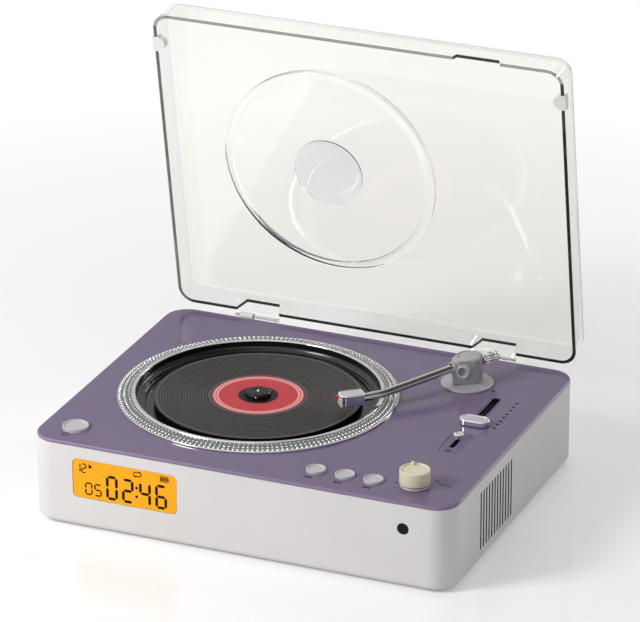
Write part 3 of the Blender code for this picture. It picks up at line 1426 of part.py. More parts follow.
# Notches in the lid's rim: two wide ones at the hinges and a finger notch in the front wall
def cut_lid_edges(lid, lid_axis):
    reach = lid_wall + lid_draft + 2 * cut_overrun
    for side_name, side in (("left", -1), ("right", 1)):
        half = hinge_notch_width / 2
        outline = [(side * hinge_x - half, -cut_overrun), (side * hinge_x + half, -cut_overrun),
                   (side * hinge_x + half - hinge_notch_slope, hinge_notch_depth),
                   (side * hinge_x - half + hinge_notch_slope, hinge_notch_depth)]
        notch = flat_solid("hinge_notch_" + side_name, [outline], reach)
        cut(lid, add_piece("hinge_notch_" + side_name, notch, None,
                           (0, lid_back + cut_overrun, lid_rim), (math.pi / 2, 0, 0), lid_axis))
    half = finger_notch_width / 2
    slope = finger_notch_depth / 2
    outline = [(finger_notch_x - half, -cut_overrun), (finger_notch_x + half, -cut_overrun),
               (finger_notch_x + half - slope, finger_notch_depth),
               (finger_notch_x - half + slope, finger_notch_depth)]
    notch = flat_solid("finger_notch", [outline], reach)
    front = lid_back - lid_length
    cut(lid, add_piece("finger_notch", notch, None, (0, front + reach - cut_overrun, lid_rim),
                       (math.pi / 2, 0, 0), lid_axis))


# Hinge leaf on the lid: a clear plate over the notch with an ear round the pin at each end
def leaf_outline():
    plate_back = lid_back + fit_gap + leaf_thickness
    plate_front = lid_back + fit_gap
    eye = arc_points(0, 0, knuckle_radius, -math.pi, 0, eye_steps)
    return eye + [(knuckle_radius, leaf_bottom - leaf_thickness),
                  (plate_back, leaf_bottom + leaf_thickness), (plate_back, leaf_bottom * 2),
                  (plate_front, leaf_bottom * 2), (plate_front, leaf_bottom - leaf_thickness / 2)]


def make_hinges(lid_axis):
    pin_length = hinge_notch_width
    ear_middle = (pin_length - hinge_ear_width) / 2
    for side_name, side in (("left", -1), ("right", 1)):
        centre_x = side * hinge_x
        leaf_height = leaf_top - leaf_bottom
        plate = block_mesh("hinge_leaf_" + side_name, leaf_width, leaf_thickness, leaf_height)
        leaf = add_piece("hinge_leaf_" + side_name, plate, "clear",
                         (centre_x, lid_back + fit_gap + leaf_thickness / 2,
                          leaf_bottom + leaf_height / 2), parent=lid_axis)
        for end in (-1, 1):
            ear = flat_solid("hinge_ear", [leaf_outline()], hinge_ear_width)
            join(leaf, add_piece("hinge_ear_%s_%d" % (side_name, end + 1), ear, None,
                                 (centre_x + end * ear_middle - hinge_ear_width / 2, 0, 0),
                                 (math.pi / 2, 0, math.pi / 2), lid_axis))
        bore = cylinder_mesh("leaf_bore", knuckle_bore_radius, pin_length + 2 * cut_overrun,
                             tiny_segments)
        cut(leaf, add_piece("leaf_bore_" + side_name, bore, None,
                            (centre_x - pin_length / 2 - cut_overrun, 0, 0),
                            (0, math.pi / 2, 0), lid_axis))
        pin = cylinder_mesh("hinge_pin_" + side_name, hinge_pin_radius, pin_length, tiny_segments)
        add_piece("hinge_pin_" + side_name, pin, "steel",
                  (centre_x - pin_length / 2, hinge_y, hinge_z), (0, math.pi / 2, 0), root)
        make_hinge_bracket(side_name, centre_x, ear_middle)


# Hinge bracket on the case: a plate under the deck's edge that reaches back to one knuckle
def make_hinge_bracket(side_name, centre_x, ear_middle):
    plate_front = back_face + fit_gap
    plate_centre = plate_front + bracket_thickness / 2
    plate_top = hinge_z - bracket_drop
    plate = block_mesh("hinge_bracket_" + side_name, bracket_width, bracket_thickness,
                       bracket_height)
    knuckle_x = centre_x - ear_middle + hinge_ear_width / 2 + fit_gap
    bracket = add_piece("hinge_bracket_" + side_name, plate, "case_grey",
                        (knuckle_x + bracket_width / 2, plate_centre,
                         plate_top - bracket_height / 2), parent=root)
    eye = arc_points(0, 0, knuckle_radius, 0, math.pi, eye_steps)
    low = -bracket_drop - bracket_thickness
    outline = eye + [(plate_front - hinge_y, low), (plate_front - hinge_y + bracket_thickness, low)]
    arm = flat_solid("bracket_arm_" + side_name, [outline], bracket_knuckle_width)
    join(bracket, add_piece("bracket_arm_" + side_name, arm, None, (knuckle_x, hinge_y, hinge_z),
                            (math.pi / 2, 0, math.pi / 2), root))
    bore = cylinder_mesh("bracket_bore", knuckle_bore_radius,
                         bracket_knuckle_width + 2 * cut_overrun, tiny_segments)
    cut(bracket, add_piece("bracket_bore_" + side_name, bore, None,
                           (knuckle_x - cut_overrun, hinge_y, hinge_z),
                           (0, math.pi / 2, 0), root))


# Lid bumpers: soft clips over the rim of both side walls, with a round pad on the inside
def make_bumpers(lid_axis):
    groove = lid_wall + 2 * fit_gap
    span = bumper_outer + groove + bumper_inner
    low = lid_rim - fit_gap - bumper_sole
    middle_y = lid_back - lid_length + bumper_from_front_rim
    for side_name, side in (("left", -1), ("right", 1)):
        outside = lid_width / 2 + fit_gap + bumper_outer
        clip_shape = [(outside, 0), (outside, bumper_height), (outside - bumper_outer, bumper_height),
                      (outside - bumper_outer, bumper_sole),
                      (outside - bumper_outer - groove, bumper_sole),
                      (outside - bumper_outer - groove, bumper_height),
                      (outside - span, bumper_height), (outside - span, 0)]
        clip_shape = [(side * x, z) for x, z in clip_shape]
        clip = flat_solid("lid_bumper_" + side_name, [clip_shape], bumper_length)
        bumper = add_piece("lid_bumper_" + side_name, clip, "rubber",
                           (0, middle_y + bumper_length / 2, low), (math.pi / 2, 0, 0), lid_axis)
        pad_x = side * (outside - span + bumper_inner / 2)
        turn = math.pi / 2 if side > 0 else -math.pi / 2
        pad_shape = arc_points(pad_x, middle_y, bumper_pad_radius, turn, turn + math.pi,
                               eye_steps)
        pad = flat_solid("bumper_pad_" + side_name, [pad_shape], bumper_height)
        join(bumper, add_piece("bumper_pad_" + side_name, pad, None, (0, 0, low), parent=lid_axis))


lower_case = make_case()
make_feet()
make_deck()
make_ring()
make_well()
make_spindle()
make_mechanism()
make_arm_base()
make_arm()
make_buttons()
make_knob()
make_slider()
make_mode_switch()
make_front_pieces()
make_speakers()
make_electronics()
lid_axis_empty = add_empty("lid_axis", (0, hinge_y, hinge_z), root, (-lid_open_angle, 0, 0))
make_lid(lid_axis_empty)
make_hinges(lid_axis_empty)
make_bumpers(lid_axis_empty)


# The origin is the middle of the whole model's box at floor level, so the root moves by that much
def model_box():
    bpy.context.view_layer.update()
    depsgraph = bpy.context.evaluated_depsgraph_get()
    low = Vector((math.inf, math.inf, math.inf))
    high = -low
    for piece in part_collection.objects:
        if piece.type == "MESH":
            shown = piece.evaluated_get(depsgraph)
            mesh = shown.to_mesh()
            for vertex in mesh.vertices:
                point = shown.matrix_world @ vertex.co
                low = Vector(map(min, low, point))
                high = Vector(map(max, high, point))
            shown.to_mesh_clear()
    return low, high


box_low, box_high = model_box()
root.location = (-(box_low.x + box_high.x) / 2, -(box_low.y + box_high.y) / 2, -box_low.z)
bpy.context.view_layer.update()
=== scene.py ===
import math
import bpy
import bmesh
from mathutils import Matrix, Vector


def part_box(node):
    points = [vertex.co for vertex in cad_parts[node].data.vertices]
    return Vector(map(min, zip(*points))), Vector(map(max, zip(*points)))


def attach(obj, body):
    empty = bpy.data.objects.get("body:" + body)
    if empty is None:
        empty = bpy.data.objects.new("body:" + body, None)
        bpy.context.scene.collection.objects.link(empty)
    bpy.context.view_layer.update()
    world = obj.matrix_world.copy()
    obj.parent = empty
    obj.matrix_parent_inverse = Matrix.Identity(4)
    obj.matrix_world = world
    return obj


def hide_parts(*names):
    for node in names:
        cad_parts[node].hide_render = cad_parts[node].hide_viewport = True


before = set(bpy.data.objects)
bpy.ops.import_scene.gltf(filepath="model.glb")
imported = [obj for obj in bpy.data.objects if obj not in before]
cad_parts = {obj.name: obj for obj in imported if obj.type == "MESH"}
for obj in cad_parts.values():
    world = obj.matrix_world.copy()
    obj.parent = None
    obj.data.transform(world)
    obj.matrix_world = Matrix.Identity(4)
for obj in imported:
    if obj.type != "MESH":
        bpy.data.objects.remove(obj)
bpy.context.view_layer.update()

# Plan sizes are millimetres from the middle of the case; heights are from the floor or the deck
mm = 0.001
tau = math.tau
caseLow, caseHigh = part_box("lower_case")
planY = (caseLow.y + caseHigh.y) / 2
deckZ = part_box("deck_panel")[1].z


def placeAt(x=0, y=0, z=0, turn=None):  # plan place in mm, z in mm from the floor
    turned = turn if turn is not None else Matrix.Identity(4)
    return Matrix.Translation((x * mm, planY + y * mm, z * mm)) @ turned @ Matrix.Scale(mm, 4)


def placeOnDeck(x=0, y=0, z=0, turn=None):  # the same, with z from the deck's top face
    return Matrix.Translation((0, 0, deckZ)) @ placeAt(x, y, z, turn)


def planSpot(point):  # the way back: a point's plan place in mm, with z from the deck
    return point.x / mm, (point.y - planY) / mm, (point.z - deckZ) / mm


# Finishes
def seen(red, green, blue):  # a colour as the eye sees it, 0 to 255
    def linear(level):
        share = level / 255
        return share / 12.92 if share <= 0.04045 else ((share + 0.055) / 1.055) ** 2.4
    return (linear(red), linear(green), linear(blue), 1)


def shaded(colour, share):
    return tuple(min(1, level * share) for level in colour[:3]) + (1,)


def addNode(tree, kind, inputs=None, **settings):
    node = tree.nodes.new(kind)
    for key, value in settings.items():
        setattr(node, key, value)
    for key, value in (inputs or {}).items():
        if isinstance(value, bpy.types.NodeSocket):
            tree.links.new(value, node.inputs[key])
        else:
            node.inputs[key].default_value = value
    return node


def newFinish(name, **inputs):
    finish = bpy.data.materials.new(name)
    finish.use_nodes = True
    tree = finish.node_tree
    shader = tree.nodes["Principled BSDF"]
    for key, value in inputs.items():
        shader.inputs[key.replace("_", " ")].default_value = value
    place = addNode(tree, "ShaderNodeTexCoord").outputs["Object"]
    return finish, tree, shader, place


def mathOf(tree, operation, first, second):
    return addNode(tree, "ShaderNodeMath", {0: first, 1: second}, operation=operation).outputs[0]


def rangeOf(tree, value, low, high, fromLow=0.0, fromHigh=1.0, **settings):
    return addNode(tree, "ShaderNodeMapRange", {
        "Value": value, "From Min": fromLow, "From Max": fromHigh, "To Min": low, "To Max": high},
        **settings).outputs[0]


def noiseOf(tree, place, size, detail):  # size is that of its clouds or grains, in mm
    return addNode(tree, "ShaderNodeTexNoise", {
        "Vector": place, "Scale": 1 / (size * mm), "Detail": detail}).outputs["Fac"]


noiseSpan = {"low": 0.3, "high": 0.7}  # the part of a noise's range that is used


def colourFromNoise(tree, noise, dark, light):
    ramp = addNode(tree, "ShaderNodeValToRGB", {"Fac": noise})
    for stop, key, colour in zip(ramp.color_ramp.elements, ("low", "high"), (dark, light)):
        stop.position = noiseSpan[key]
        stop.color = colour
    return ramp.outputs["Color"]


def dressShader(tree, shader, tint, gloss, height, depth):  # depth of the relief in mm
    bump = addNode(tree, "ShaderNodeBump", {"Height": height, "Distance": depth * mm}).outputs[0]
    for socket, source in (("Base Color", tint), ("Roughness", gloss), ("Normal", bump)):
        tree.links.new(source, shader.inputs[socket])


# Moulded, painted or polished surface: clouding, uneven gloss and a fine grain of a real size
def surfaceFinish(name, colour, rough=0.4, grain=0.3, depth=0.004, cloud=40, tone=0.04,
                  uneven=0.15, metal=0.0, shine=0.5, **inputs):
    finish, tree, shader, place = newFinish(name, Metallic=metal, Specular_IOR_Level=shine,
                                            **inputs)
    clouds, grains = noiseOf(tree, place, cloud, 3), noiseOf(tree, place, grain, 2)
    mean = mathOf(tree, "MULTIPLY", mathOf(tree, "ADD", clouds, grains), 0.5)
    paint = seen(*colour)
    tint = colourFromNoise(tree, mean, shaded(paint, 1 - tone), shaded(paint, 1 + tone))
    gloss = rangeOf(tree, clouds, rough * (1 - uneven), rough * (1 + uneven), *noiseSpan.values())
    dressShader(tree, shader, tint, gloss, grains, depth)
    return finish


# Clear moulded plastic, with the faint ripple of its mould
def clearFinish(name, colour, rough, ripple, bend=1.4, depth=0.01):
    finish, tree, shader, place = newFinish(name, Transmission_Weight=1.0, IOR=bend)
    flow = noiseOf(tree, place, ripple, 1)
    tint = colourFromNoise(tree, flow, shaded(colour, 0.985), shaded(colour, 1))
    gloss = rangeOf(tree, flow, rough * 0.5, rough * 1.5)
    dressShader(tree, shader, tint, gloss, flow, depth)
    return finish


# Turned or pressed face whose fine rings run round one axis of the object
def ringedFinish(name, colour, rough, centre, pitch, depth, tone, shine, uneven=0.25):
    finish, tree, shader, place = newFinish(name, Specular_IOR_Level=shine)
    lay = addNode(tree, "ShaderNodeMapping", {
        "Vector": place, "Location": (-centre.x, -centre.y, 0), "Scale": (1, 1, 0)}).outputs[0]
    reach = addNode(tree, "ShaderNodeVectorMath", {0: lay}, operation="LENGTH").outputs["Value"]
    bands = addNode(tree, "ShaderNodeTexNoise", {
        "W": reach, "Scale": 1 / (pitch * mm), "Detail": 4, "Roughness": 0.7},
        noise_dimensions="1D").outputs["Fac"]
    paint = seen(*colour)
    tint = colourFromNoise(tree, bands, shaded(paint, 1 - tone), shaded(paint, 1 + tone))
    gloss = rangeOf(tree, bands, rough * (1 - uneven), rough * (1 + uneven), *noiseSpan.values())
    dressShader(tree, shader, tint, gloss, bands, depth)
    return finish


discLow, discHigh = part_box("compact_disc")
discCentre = (discLow + discHigh) / 2

# Colour as seen, roughness, grain and its relief in mm
casePaint = surfaceFinish("casePaint", (223, 220, 219), 0.5, 0.35, 0.006)
deckGloss = surfaceFinish("deckGloss", (119, 105, 135), 0.16, 0.5, 0.0008, tone=0.02, shine=0.3)
# Painted highlight: a paler lilac for the deck's rounded edge and side
deckRimHighlight = surfaceFinish("deckRimHighlight", (138, 121, 152), 0.2, 0.5, 0.0008, tone=0.02, shine=0.3)
plateGloss = surfaceFinish("plateGloss", (112, 98, 127), 0.2, 0.4, 0.001, tone=0.02, shine=0.3)
wellBlack = surfaceFinish("wellBlack", (22, 22, 23), 0.2, 0.6, 0.0008, tone=0.1)
hubBlack = surfaceFinish("hubBlack", (22, 22, 23), 0.3, 0.3, 0.002, tone=0.1, shine=0.25)
mattBlack = surfaceFinish("mattBlack", (30, 30, 30), 0.6, 0.3, 0.004, tone=0.1)
brightMetal = surfaceFinish("brightMetal", (226, 226, 228), 0.1, 0.4, 0.0006, tone=0.02, metal=1)
plainSteel = surfaceFinish("plainSteel", (190, 190, 192), 0.28, 0.2, 0.001, metal=1)
tubeMetal = surfaceFinish("tubeMetal", (178, 177, 176), 0.07, 0.4, 0.0006, tone=0.02, metal=1)
studMetal = surfaceFinish("studMetal", (242, 242, 242), 0.22, 0.3, 0.0006, tone=0.02, metal=1)
armPaint = surfaceFinish("armPaint", (180, 177, 181), 0.34, 0.18, 0.002, tone=0.03, metal=0.15)
capSilver = surfaceFinish("capSilver", (212, 210, 209), 0.22, 0.2, 0.001, tone=0.02, metal=0.3)
shellLilac = surfaceFinish("shellLilac", (156, 144, 182), 0.25, 0.3, 0.001, tone=0.02, metal=0.4)
frontSilver = surfaceFinish("frontSilver", (222, 221, 222), 0.2, 0.3, 0.001, tone=0.02, metal=0.2)
# Dark lilac: painted shade on the mode plate's slot walls, and the colour of the switch body under
# it
slotShadeLilac = surfaceFinish("slotShadeLilac", (66, 57, 78), 0.5, 0.3, 0.002, shine=0.1)
# Painted shade for the inside of the case and the walls of the speaker slots
slotShade = surfaceFinish("slotShade", (48, 46, 42), 0.7, 0.3, 0.003, tone=0.08, shine=0.2)
keyGrey = surfaceFinish("keyGrey", (198, 194, 199), 0.4, 0.3, 0.003, tone=0.02)
knobCream = surfaceFinish("knobCream", (231, 220, 194), 0.38, 0.3, 0.003, tone=0.03,
                          Subsurface_Weight=0.08)
tipRed = surfaceFinish("tipRed", (205, 50, 62), 0.3, 0.2, 0.002, tone=0.05)
softRubber = surfaceFinish("softRubber", (150, 149, 146), 0.75, 0.25, 0.008, tone=0.06)
bumperPale = surfaceFinish("bumperPale", (232, 232, 228), 0.5, 0.25, 0.004, tone=0.03)
boardGreen = surfaceFinish("boardGreen", (38, 92, 58), 0.4, 0.8, 0.006, tone=0.12)
cellBlue = surfaceFinish("cellBlue", (48, 78, 140), 0.35, 1.5, 0.01, tone=0.06)
gearWhite = surfaceFinish("gearWhite", (226, 225, 220), 0.45, 0.3, 0.003)
conePaper = surfaceFinish("conePaper", (44, 43, 42), 0.85, 0.6, 0.03, tone=0.2)
grooveDark = surfaceFinish("grooveDark", (112, 116, 114), 0.3, 0.3, 0.003, tone=0.06, shine=0.3)
printInk = surfaceFinish("printInk", (44, 36, 54), 0.5, 0.2, 0.002, tone=0.05, shine=0.05)
displayInk = surfaceFinish("displayInk", (26, 22, 10), 0.4, 0.3, 0.001, tone=0.05, shine=0.1)
displayAmber = surfaceFinish("displayAmber", (252, 172, 16), 0.15, 0.8, 0.0005, cloud=25, tone=0.02,
                             shine=0.2, Emission_Color=seen(255, 160, 0), Emission_Strength=0.08)
# Painted shade: groove walls darker than the disc's top
discGrooveShade = surfaceFinish("discGrooveShade", (20, 18, 19), 0.35, 0.5, 0.001, tone=0.08, shine=0.2)
discCore = surfaceFinish("discCore", (20, 19, 20), 0.3, 0.5, 0.001, tone=0.08, shine=0.12)
discDark = ringedFinish("discDark", (75, 70, 70), 0.3, discCentre, 0.55, 0.008, 0.12, 0.2)
labelRed = ringedFinish("labelRed", (200, 56, 66), 0.38, discCentre, 1.2, 0.003, 0.03, 0.2)
labelPink = ringedFinish("labelPink", (240, 172, 172), 0.38, discCentre, 1.2, 0.003, 0.03, 0.2)
# Tint of the clear plastic, roughness, ripple in mm, and how far it bends light
lidClear = clearFinish("lidClear", (0.945, 0.94, 0.9), 0.02, 45, 1.35)
# Walls a greyer tint: painted shade
lidWallShade = clearFinish("lidWallShade", (0.88, 0.88, 0.86), 0.05, 30, 1.12)
# Dish band a paler tint: painted highlight
lidBandHighlight = clearFinish("lidBandHighlight", (0.975, 0.973, 0.94), 0.05, 20)
# Rim tints, one for each side, black, olive and lighter: painted shade
lidRimShade = clearFinish("lidRimShade", (0.0006, 0.0006, 0.0005), 0.06, 20)
lidRimShadeOlive = clearFinish("lidRimShadeOlive", (0.012, 0.012, 0.006), 0.06, 20)
lidRimShadeLight = clearFinish("lidRimShadeLight", (0.13, 0.13, 0.11), 0.06, 20)
# Outer rounding a paler tint: painted light
lidCornerLight = clearFinish("lidCornerLight", (0.98, 0.98, 0.97), 0.05, 20, 1.04)
lidLilac = clearFinish("lidLilac", (0.955, 0.933, 0.985), 0.02, 20, 1.33)
leafClear = clearFinish("leafClear", (0.97, 0.97, 0.95), 0.03, 20, 1.06)
print("finishes made")


# Shapes
def arcPoints(radius, steps, start=0.0, end=tau, x=0.0, y=0.0):
    angles = [start + (end - start) * step / steps for step in range(steps + 1)]
    return [(x + radius * math.cos(angle), y + radius * math.sin(angle)) for angle in angles]


def circlePoints(radius, steps, x=0.0, y=0.0):
    return arcPoints(radius, steps, x=x, y=y)[:-1]


# A rectangle whose two corners at +x have one radius and the two at -x another
def endedRect(width, depth, front, back, steps, x=0.0, y=0.0):
    points = []
    for index, (signX, signY) in enumerate(((1, 1), (-1, 1), (-1, -1), (1, -1))):
        corner = front if signX > 0 else back
        points += arcPoints(corner, steps, index * tau / 4, (index + 1) * tau / 4,
                            x + signX * (width / 2 - corner), y + signY * (depth / 2 - corner))
    return points


def roundedRect(width, depth, corner, steps, x=0.0, y=0.0):
    return endedRect(width, depth, corner, corner, steps, x, y)


def capsuleCorner(width, depth):  # a little short of half, so that no straight edge is lost
    return min(width, depth) / 2 - 0.0005


def capsulePoints(width, depth, steps, x=0.0, y=0.0):
    return roundedRect(width, depth, capsuleCorner(width, depth), steps, x, y)


# A line of (a, b) or (a, b, radius) points, with an arc at each corner that has a radius
def filleted(points, closed=False, steps=5):
    line = []
    for index, point in enumerate(points):
        here = Vector(point[:2])
        inside = closed or 0 < index < len(points) - 1
        if len(point) < 3 or not inside:
            line.append(tuple(here))
            continue
        back = (Vector(points[index - 1][:2]) - here).normalized()
        ahead = (Vector(points[(index + 1) % len(points)][:2]) - here).normalized()
        half = math.acos(max(-1, min(1, back.dot(ahead)))) / 2
        centre = here + (back + ahead).normalized() * point[2] / math.sin(half)
        first = here + back * point[2] / math.tan(half) - centre
        last = here + ahead * point[2] / math.tan(half) - centre
        start = math.atan2(first.y, first.x)
        sweep = (math.atan2(last.y, last.x) - start + math.pi) % tau - math.pi
        line += arcPoints(point[2], steps, start, start + sweep, centre.x, centre.y)
    return line


def keepMesh(name, edit, place, finish, sharp=32):
    bmesh.ops.remove_doubles(edit, verts=edit.verts, dist=0.0002)
    bmesh.ops.recalc_face_normals(edit, faces=edit.faces)
    mesh = bpy.data.meshes.new(name)
    edit.to_mesh(mesh)
    edit.free()
    mesh.transform(place)
    piece = bpy.data.objects.new(name, mesh)
    bpy.context.scene.collection.objects.link(piece)
    for one in finish if isinstance(finish, (list, tuple)) else [finish]:
        mesh.materials.append(one)
    shadeRound(piece, sharp)
    return piece


def shadeRound(piece, sharp=32):
    piece.data.shade_smooth()
    piece.data.set_sharp_from_angle(angle=math.radians(sharp))


# Rings of points joined one to the next; closed at both ends, or looped back to the first
def loftRings(edit, rings, loop=False, ends=True):
    rows = [[edit.verts.new(point) for point in ring] for ring in rings]
    for lower, upper in list(zip(rows, rows[1:])) + ([(rows[-1], rows[0])] if loop else []):
        for index in range(len(lower)):
            after = (index + 1) % len(lower)
            edit.faces.new((lower[index], lower[after], upper[after], upper[index]))
    if ends and not loop:
        edit.faces.new(list(reversed(rows[0])))
        edit.faces.new(rows[-1])


def turnedPiece(name, profile, place, finish, segments=96, closed=False, sharp=32):
    edit = bmesh.new()
    rings = [[(x, y, z) for x, y in circlePoints(radius, segments)] for radius, z in profile]
    loftRings(edit, rings, closed, ends=False)
    return keepMesh(name, edit, place, finish, sharp)


def prismPiece(name, outline, low, high, place, finish=None, sharp=32):
    edit = bmesh.new()
    loftRings(edit, [[(x, y, z) for x, y in outline] for z in (low, high)])
    return keepMesh(name, edit, place, finish or mattBlack, sharp)


# A rounded block whose outline shrinks by the profile's insets on the way up
def softBlock(name, width, depth, corner, profile, place, finish, steps=16, sharp=32):
    edit = bmesh.new()
    rings = []
    for inset, z in profile:
        outline = roundedRect(width - 2 * inset, depth - 2 * inset, max(corner - inset, 0.05),
                              steps)
        rings.append([(x, y, z) for x, y in outline])
    loftRings(edit, rings)
    return keepMesh(name, edit, place, finish, sharp)


def tubePiece(name, points, radius, place, finish, around=10):
    curve = bpy.data.curves.new(name, "CURVE")
    curve.dimensions = "3D"
    curve.bevel_depth = radius
    curve.bevel_resolution = around
    curve.use_fill_caps = True
    spline = curve.splines.new("POLY")
    spline.points.add(len(points) - 1)
    for knot, point in zip(spline.points, points):
        knot.co = (*point, 1)
    holder = bpy.data.objects.new(name, curve)
    bpy.context.scene.collection.objects.link(holder)
    mesh = bpy.data.meshes.new_from_object(
        holder.evaluated_get(bpy.context.evaluated_depsgraph_get()))
    bpy.data.objects.remove(holder)
    edit = bmesh.new()
    edit.from_mesh(mesh)
    return keepMesh(name, edit, place, finish)


def bakeModifiers(piece):  # the piece keeps its evaluated mesh and no modifier
    graph = bpy.context.evaluated_depsgraph_get()
    mesh = bpy.data.meshes.new_from_object(piece.evaluated_get(graph))
    piece.modifiers.clear()
    piece.data = mesh
    return piece


def carve(piece, cutters, operation="DIFFERENCE"):
    for cutter in cutters:
        boolean = piece.modifiers.new(cutter.name, "BOOLEAN")
        boolean.operation = operation
        boolean.object = cutter
        boolean.solver = "EXACT"
    bakeModifiers(piece)
    for cutter in cutters:
        bpy.data.objects.remove(cutter, do_unlink=True)
    shadeRound(piece)
    return piece


def softenEdges(piece, width, angle=50, segments=2):
    bevel = piece.modifiers.new("softEdges", "BEVEL")
    bevel.width = width * mm
    bevel.segments = segments
    bevel.limit_method = "ANGLE"
    bevel.angle_limit = math.radians(angle)
    bakeModifiers(piece)
    shadeRound(piece)
    return piece


def evenShading(piece):
    even = piece.modifiers.new("evenShading", "WEIGHTED_NORMAL")
    even.keep_sharp = True
    return piece


def paintFaces(piece, choose):  # choose gives a face's finish, or None for the first one
    finishes = piece.data.materials
    for face in piece.data.polygons:
        finish = choose(face)
        if finish:
            if finish.name not in finishes:
                finishes.append(finish)
            face.material_index = finishes.find(finish.name)


def settle(piece, body, slot, *nodes):  # rides on its body and stands for its CAD nodes
    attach(piece, body)
    if nodes:
        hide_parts(*nodes)
    return piece


# Node trees for what repeats
def newTree(name, sockets):
    tree = bpy.data.node_groups.new(name, "GeometryNodeTree")
    for label, kind in sockets:
        tree.interface.new_socket(label, in_out="INPUT", socket_type="NodeSocket" + kind)
    tree.interface.new_socket("Geometry", in_out="OUTPUT", socket_type="NodeSocketGeometry")
    return tree, addNode(tree, "NodeGroupInput").outputs, addNode(tree, "NodeGroupOutput")


def closeTree(tree, instances, finish, out):
    realised = addNode(tree, "GeometryNodeRealizeInstances", {"Geometry": instances})
    smooth = addNode(tree, "GeometryNodeSetShadeSmooth", {"Geometry": realised.outputs[0]})
    painted = addNode(tree, "GeometryNodeSetMaterial", {"Geometry": smooth.outputs[0],
                                                        "Material": finish})
    tree.links.new(painted.outputs[0], out.inputs["Geometry"])


# Studs in a circle, their length pointing to the middle
def studRingTree():
    tree, given, out = newTree("studRing", [
        ("Radius", "Float"), ("Count", "Int"), ("Level", "Float"), ("Stud Size", "Vector"),
        ("Tilt", "Float"), ("Finish", "Material")])
    circle = addNode(tree, "GeometryNodeCurvePrimitiveCircle", {"Resolution": given["Count"],
                                                                "Radius": given["Radius"]})
    stud = addNode(tree, "GeometryNodeMeshUVSphere", {"Segments": 8, "Rings": 5, "Radius": 0.5})
    tilted = addNode(tree, "ShaderNodeCombineXYZ", {"Y": given["Tilt"]})
    shaped = addNode(tree, "GeometryNodeTransform", {"Geometry": stud.outputs[0],
                                                     "Scale": given["Stud Size"]})
    leaning = addNode(tree, "GeometryNodeTransform", {"Geometry": shaped.outputs[0],
                                                      "Rotation": tilted.outputs[0]})
    here = addNode(tree, "GeometryNodeInputPosition")
    turned = addNode(tree, "FunctionNodeAlignRotationToVector", {"Vector": here.outputs[0]},
                     axis="X")
    placed = addNode(tree, "GeometryNodeInstanceOnPoints", {"Points": circle.outputs[0],
                                                            "Instance": leaning.outputs[0],
                                                            "Rotation": turned.outputs[0]})
    lift = addNode(tree, "ShaderNodeCombineXYZ", {"Z": given["Level"]})
    raised = addNode(tree, "GeometryNodeTransform", {"Geometry": placed.outputs[0],
                                                     "Translation": lift.outputs[0]})
    closeTree(tree, raised.outputs[0], given["Finish"], out)
    return tree


# Bars in a straight row, each a box with its own size
def barRowTree():
    tree, given, out = newTree("barRow", [("Count", "Int"), ("Step", "Vector"),
                                          ("Bar Size", "Vector"), ("Finish", "Material")])
    line = addNode(tree, "GeometryNodeMeshLine", {"Count": given["Count"], "Offset": given["Step"]},
                   mode="OFFSET")
    bar = addNode(tree, "GeometryNodeMeshCube", {"Size": given["Bar Size"]})
    placed = addNode(tree, "GeometryNodeInstanceOnPoints", {"Points": line.outputs[0],
                                                            "Instance": bar.outputs[0]})
    closeTree(tree, placed.outputs[0], given["Finish"], out)
    return tree


# Upright ribs round part of a drum
def ribRingTree():
    tree, given, out = newTree("ribRing", [
        ("Radius", "Float"), ("Count", "Int"), ("Start", "Float"), ("Sweep", "Float"),
        ("Rib Radius", "Float"), ("Rib Height", "Float"), ("Finish", "Material")])
    arc = addNode(tree, "GeometryNodeCurveArc", {"Resolution": given["Count"],
                                                 "Radius": given["Radius"],
                                                 "Start Angle": given["Start"],
                                                 "Sweep Angle": given["Sweep"]})
    rib = addNode(tree, "GeometryNodeMeshCylinder", {"Vertices": 8, "Radius": given["Rib Radius"],
                                                     "Depth": given["Rib Height"]})
    placed = addNode(tree, "GeometryNodeInstanceOnPoints", {"Points": arc.outputs[0],
                                                            "Instance": rib.outputs[0]})
    closeTree(tree, placed.outputs[0], given["Finish"], out)
    return tree


# Round-ended slots in a straight row, as solids to cut a wall with
def slotRowTree():
    tree, given, out = newTree("slotRow", [("Count", "Int"), ("Pitch", "Float"), ("Width", "Float"),
                                           ("Height", "Float"), ("Depth", "Float"),
                                           ("Finish", "Material")])
    frameOutline = addNode(tree, "GeometryNodeCurvePrimitiveQuadrilateral",
                           {"Width": given["Width"], "Height": given["Height"]})
    endRound = mathOf(tree, "MULTIPLY", given["Width"], 0.49)
    outline = addNode(tree, "GeometryNodeFilletCurve", {
        "Curve": frameOutline.outputs[0], "Count": 6, "Radius": endRound}, mode="POLY")
    face = addNode(tree, "GeometryNodeFillCurve", {"Curve": outline.outputs[0]}, mode="NGONS")
    grown = addNode(tree, "GeometryNodeExtrudeMesh", {"Mesh": face.outputs[0],
                                                      "Offset Scale": given["Depth"],
                                                      "Individual": False})
    back = addNode(tree, "GeometryNodeFlipFaces", {"Mesh": face.outputs[0]})
    solid = addNode(tree, "GeometryNodeJoinGeometry")
    for part in (back.outputs[0], grown.outputs[0]):
        tree.links.new(part, solid.inputs[0])
    whole = addNode(tree, "GeometryNodeMergeByDistance", {"Geometry": solid.outputs[0],
                                                          "Distance": 0.000001})
    step = addNode(tree, "ShaderNodeCombineXYZ", {"X": given["Pitch"]})
    line = addNode(tree, "GeometryNodeMeshLine", {"Count": given["Count"],
                                                  "Offset": step.outputs[0]}, mode="OFFSET")
    placed = addNode(tree, "GeometryNodeInstanceOnPoints", {"Points": line.outputs[0],
                                                            "Instance": whole.outputs[0]})
    closeTree(tree, placed.outputs[0], given["Finish"], out)
    return tree


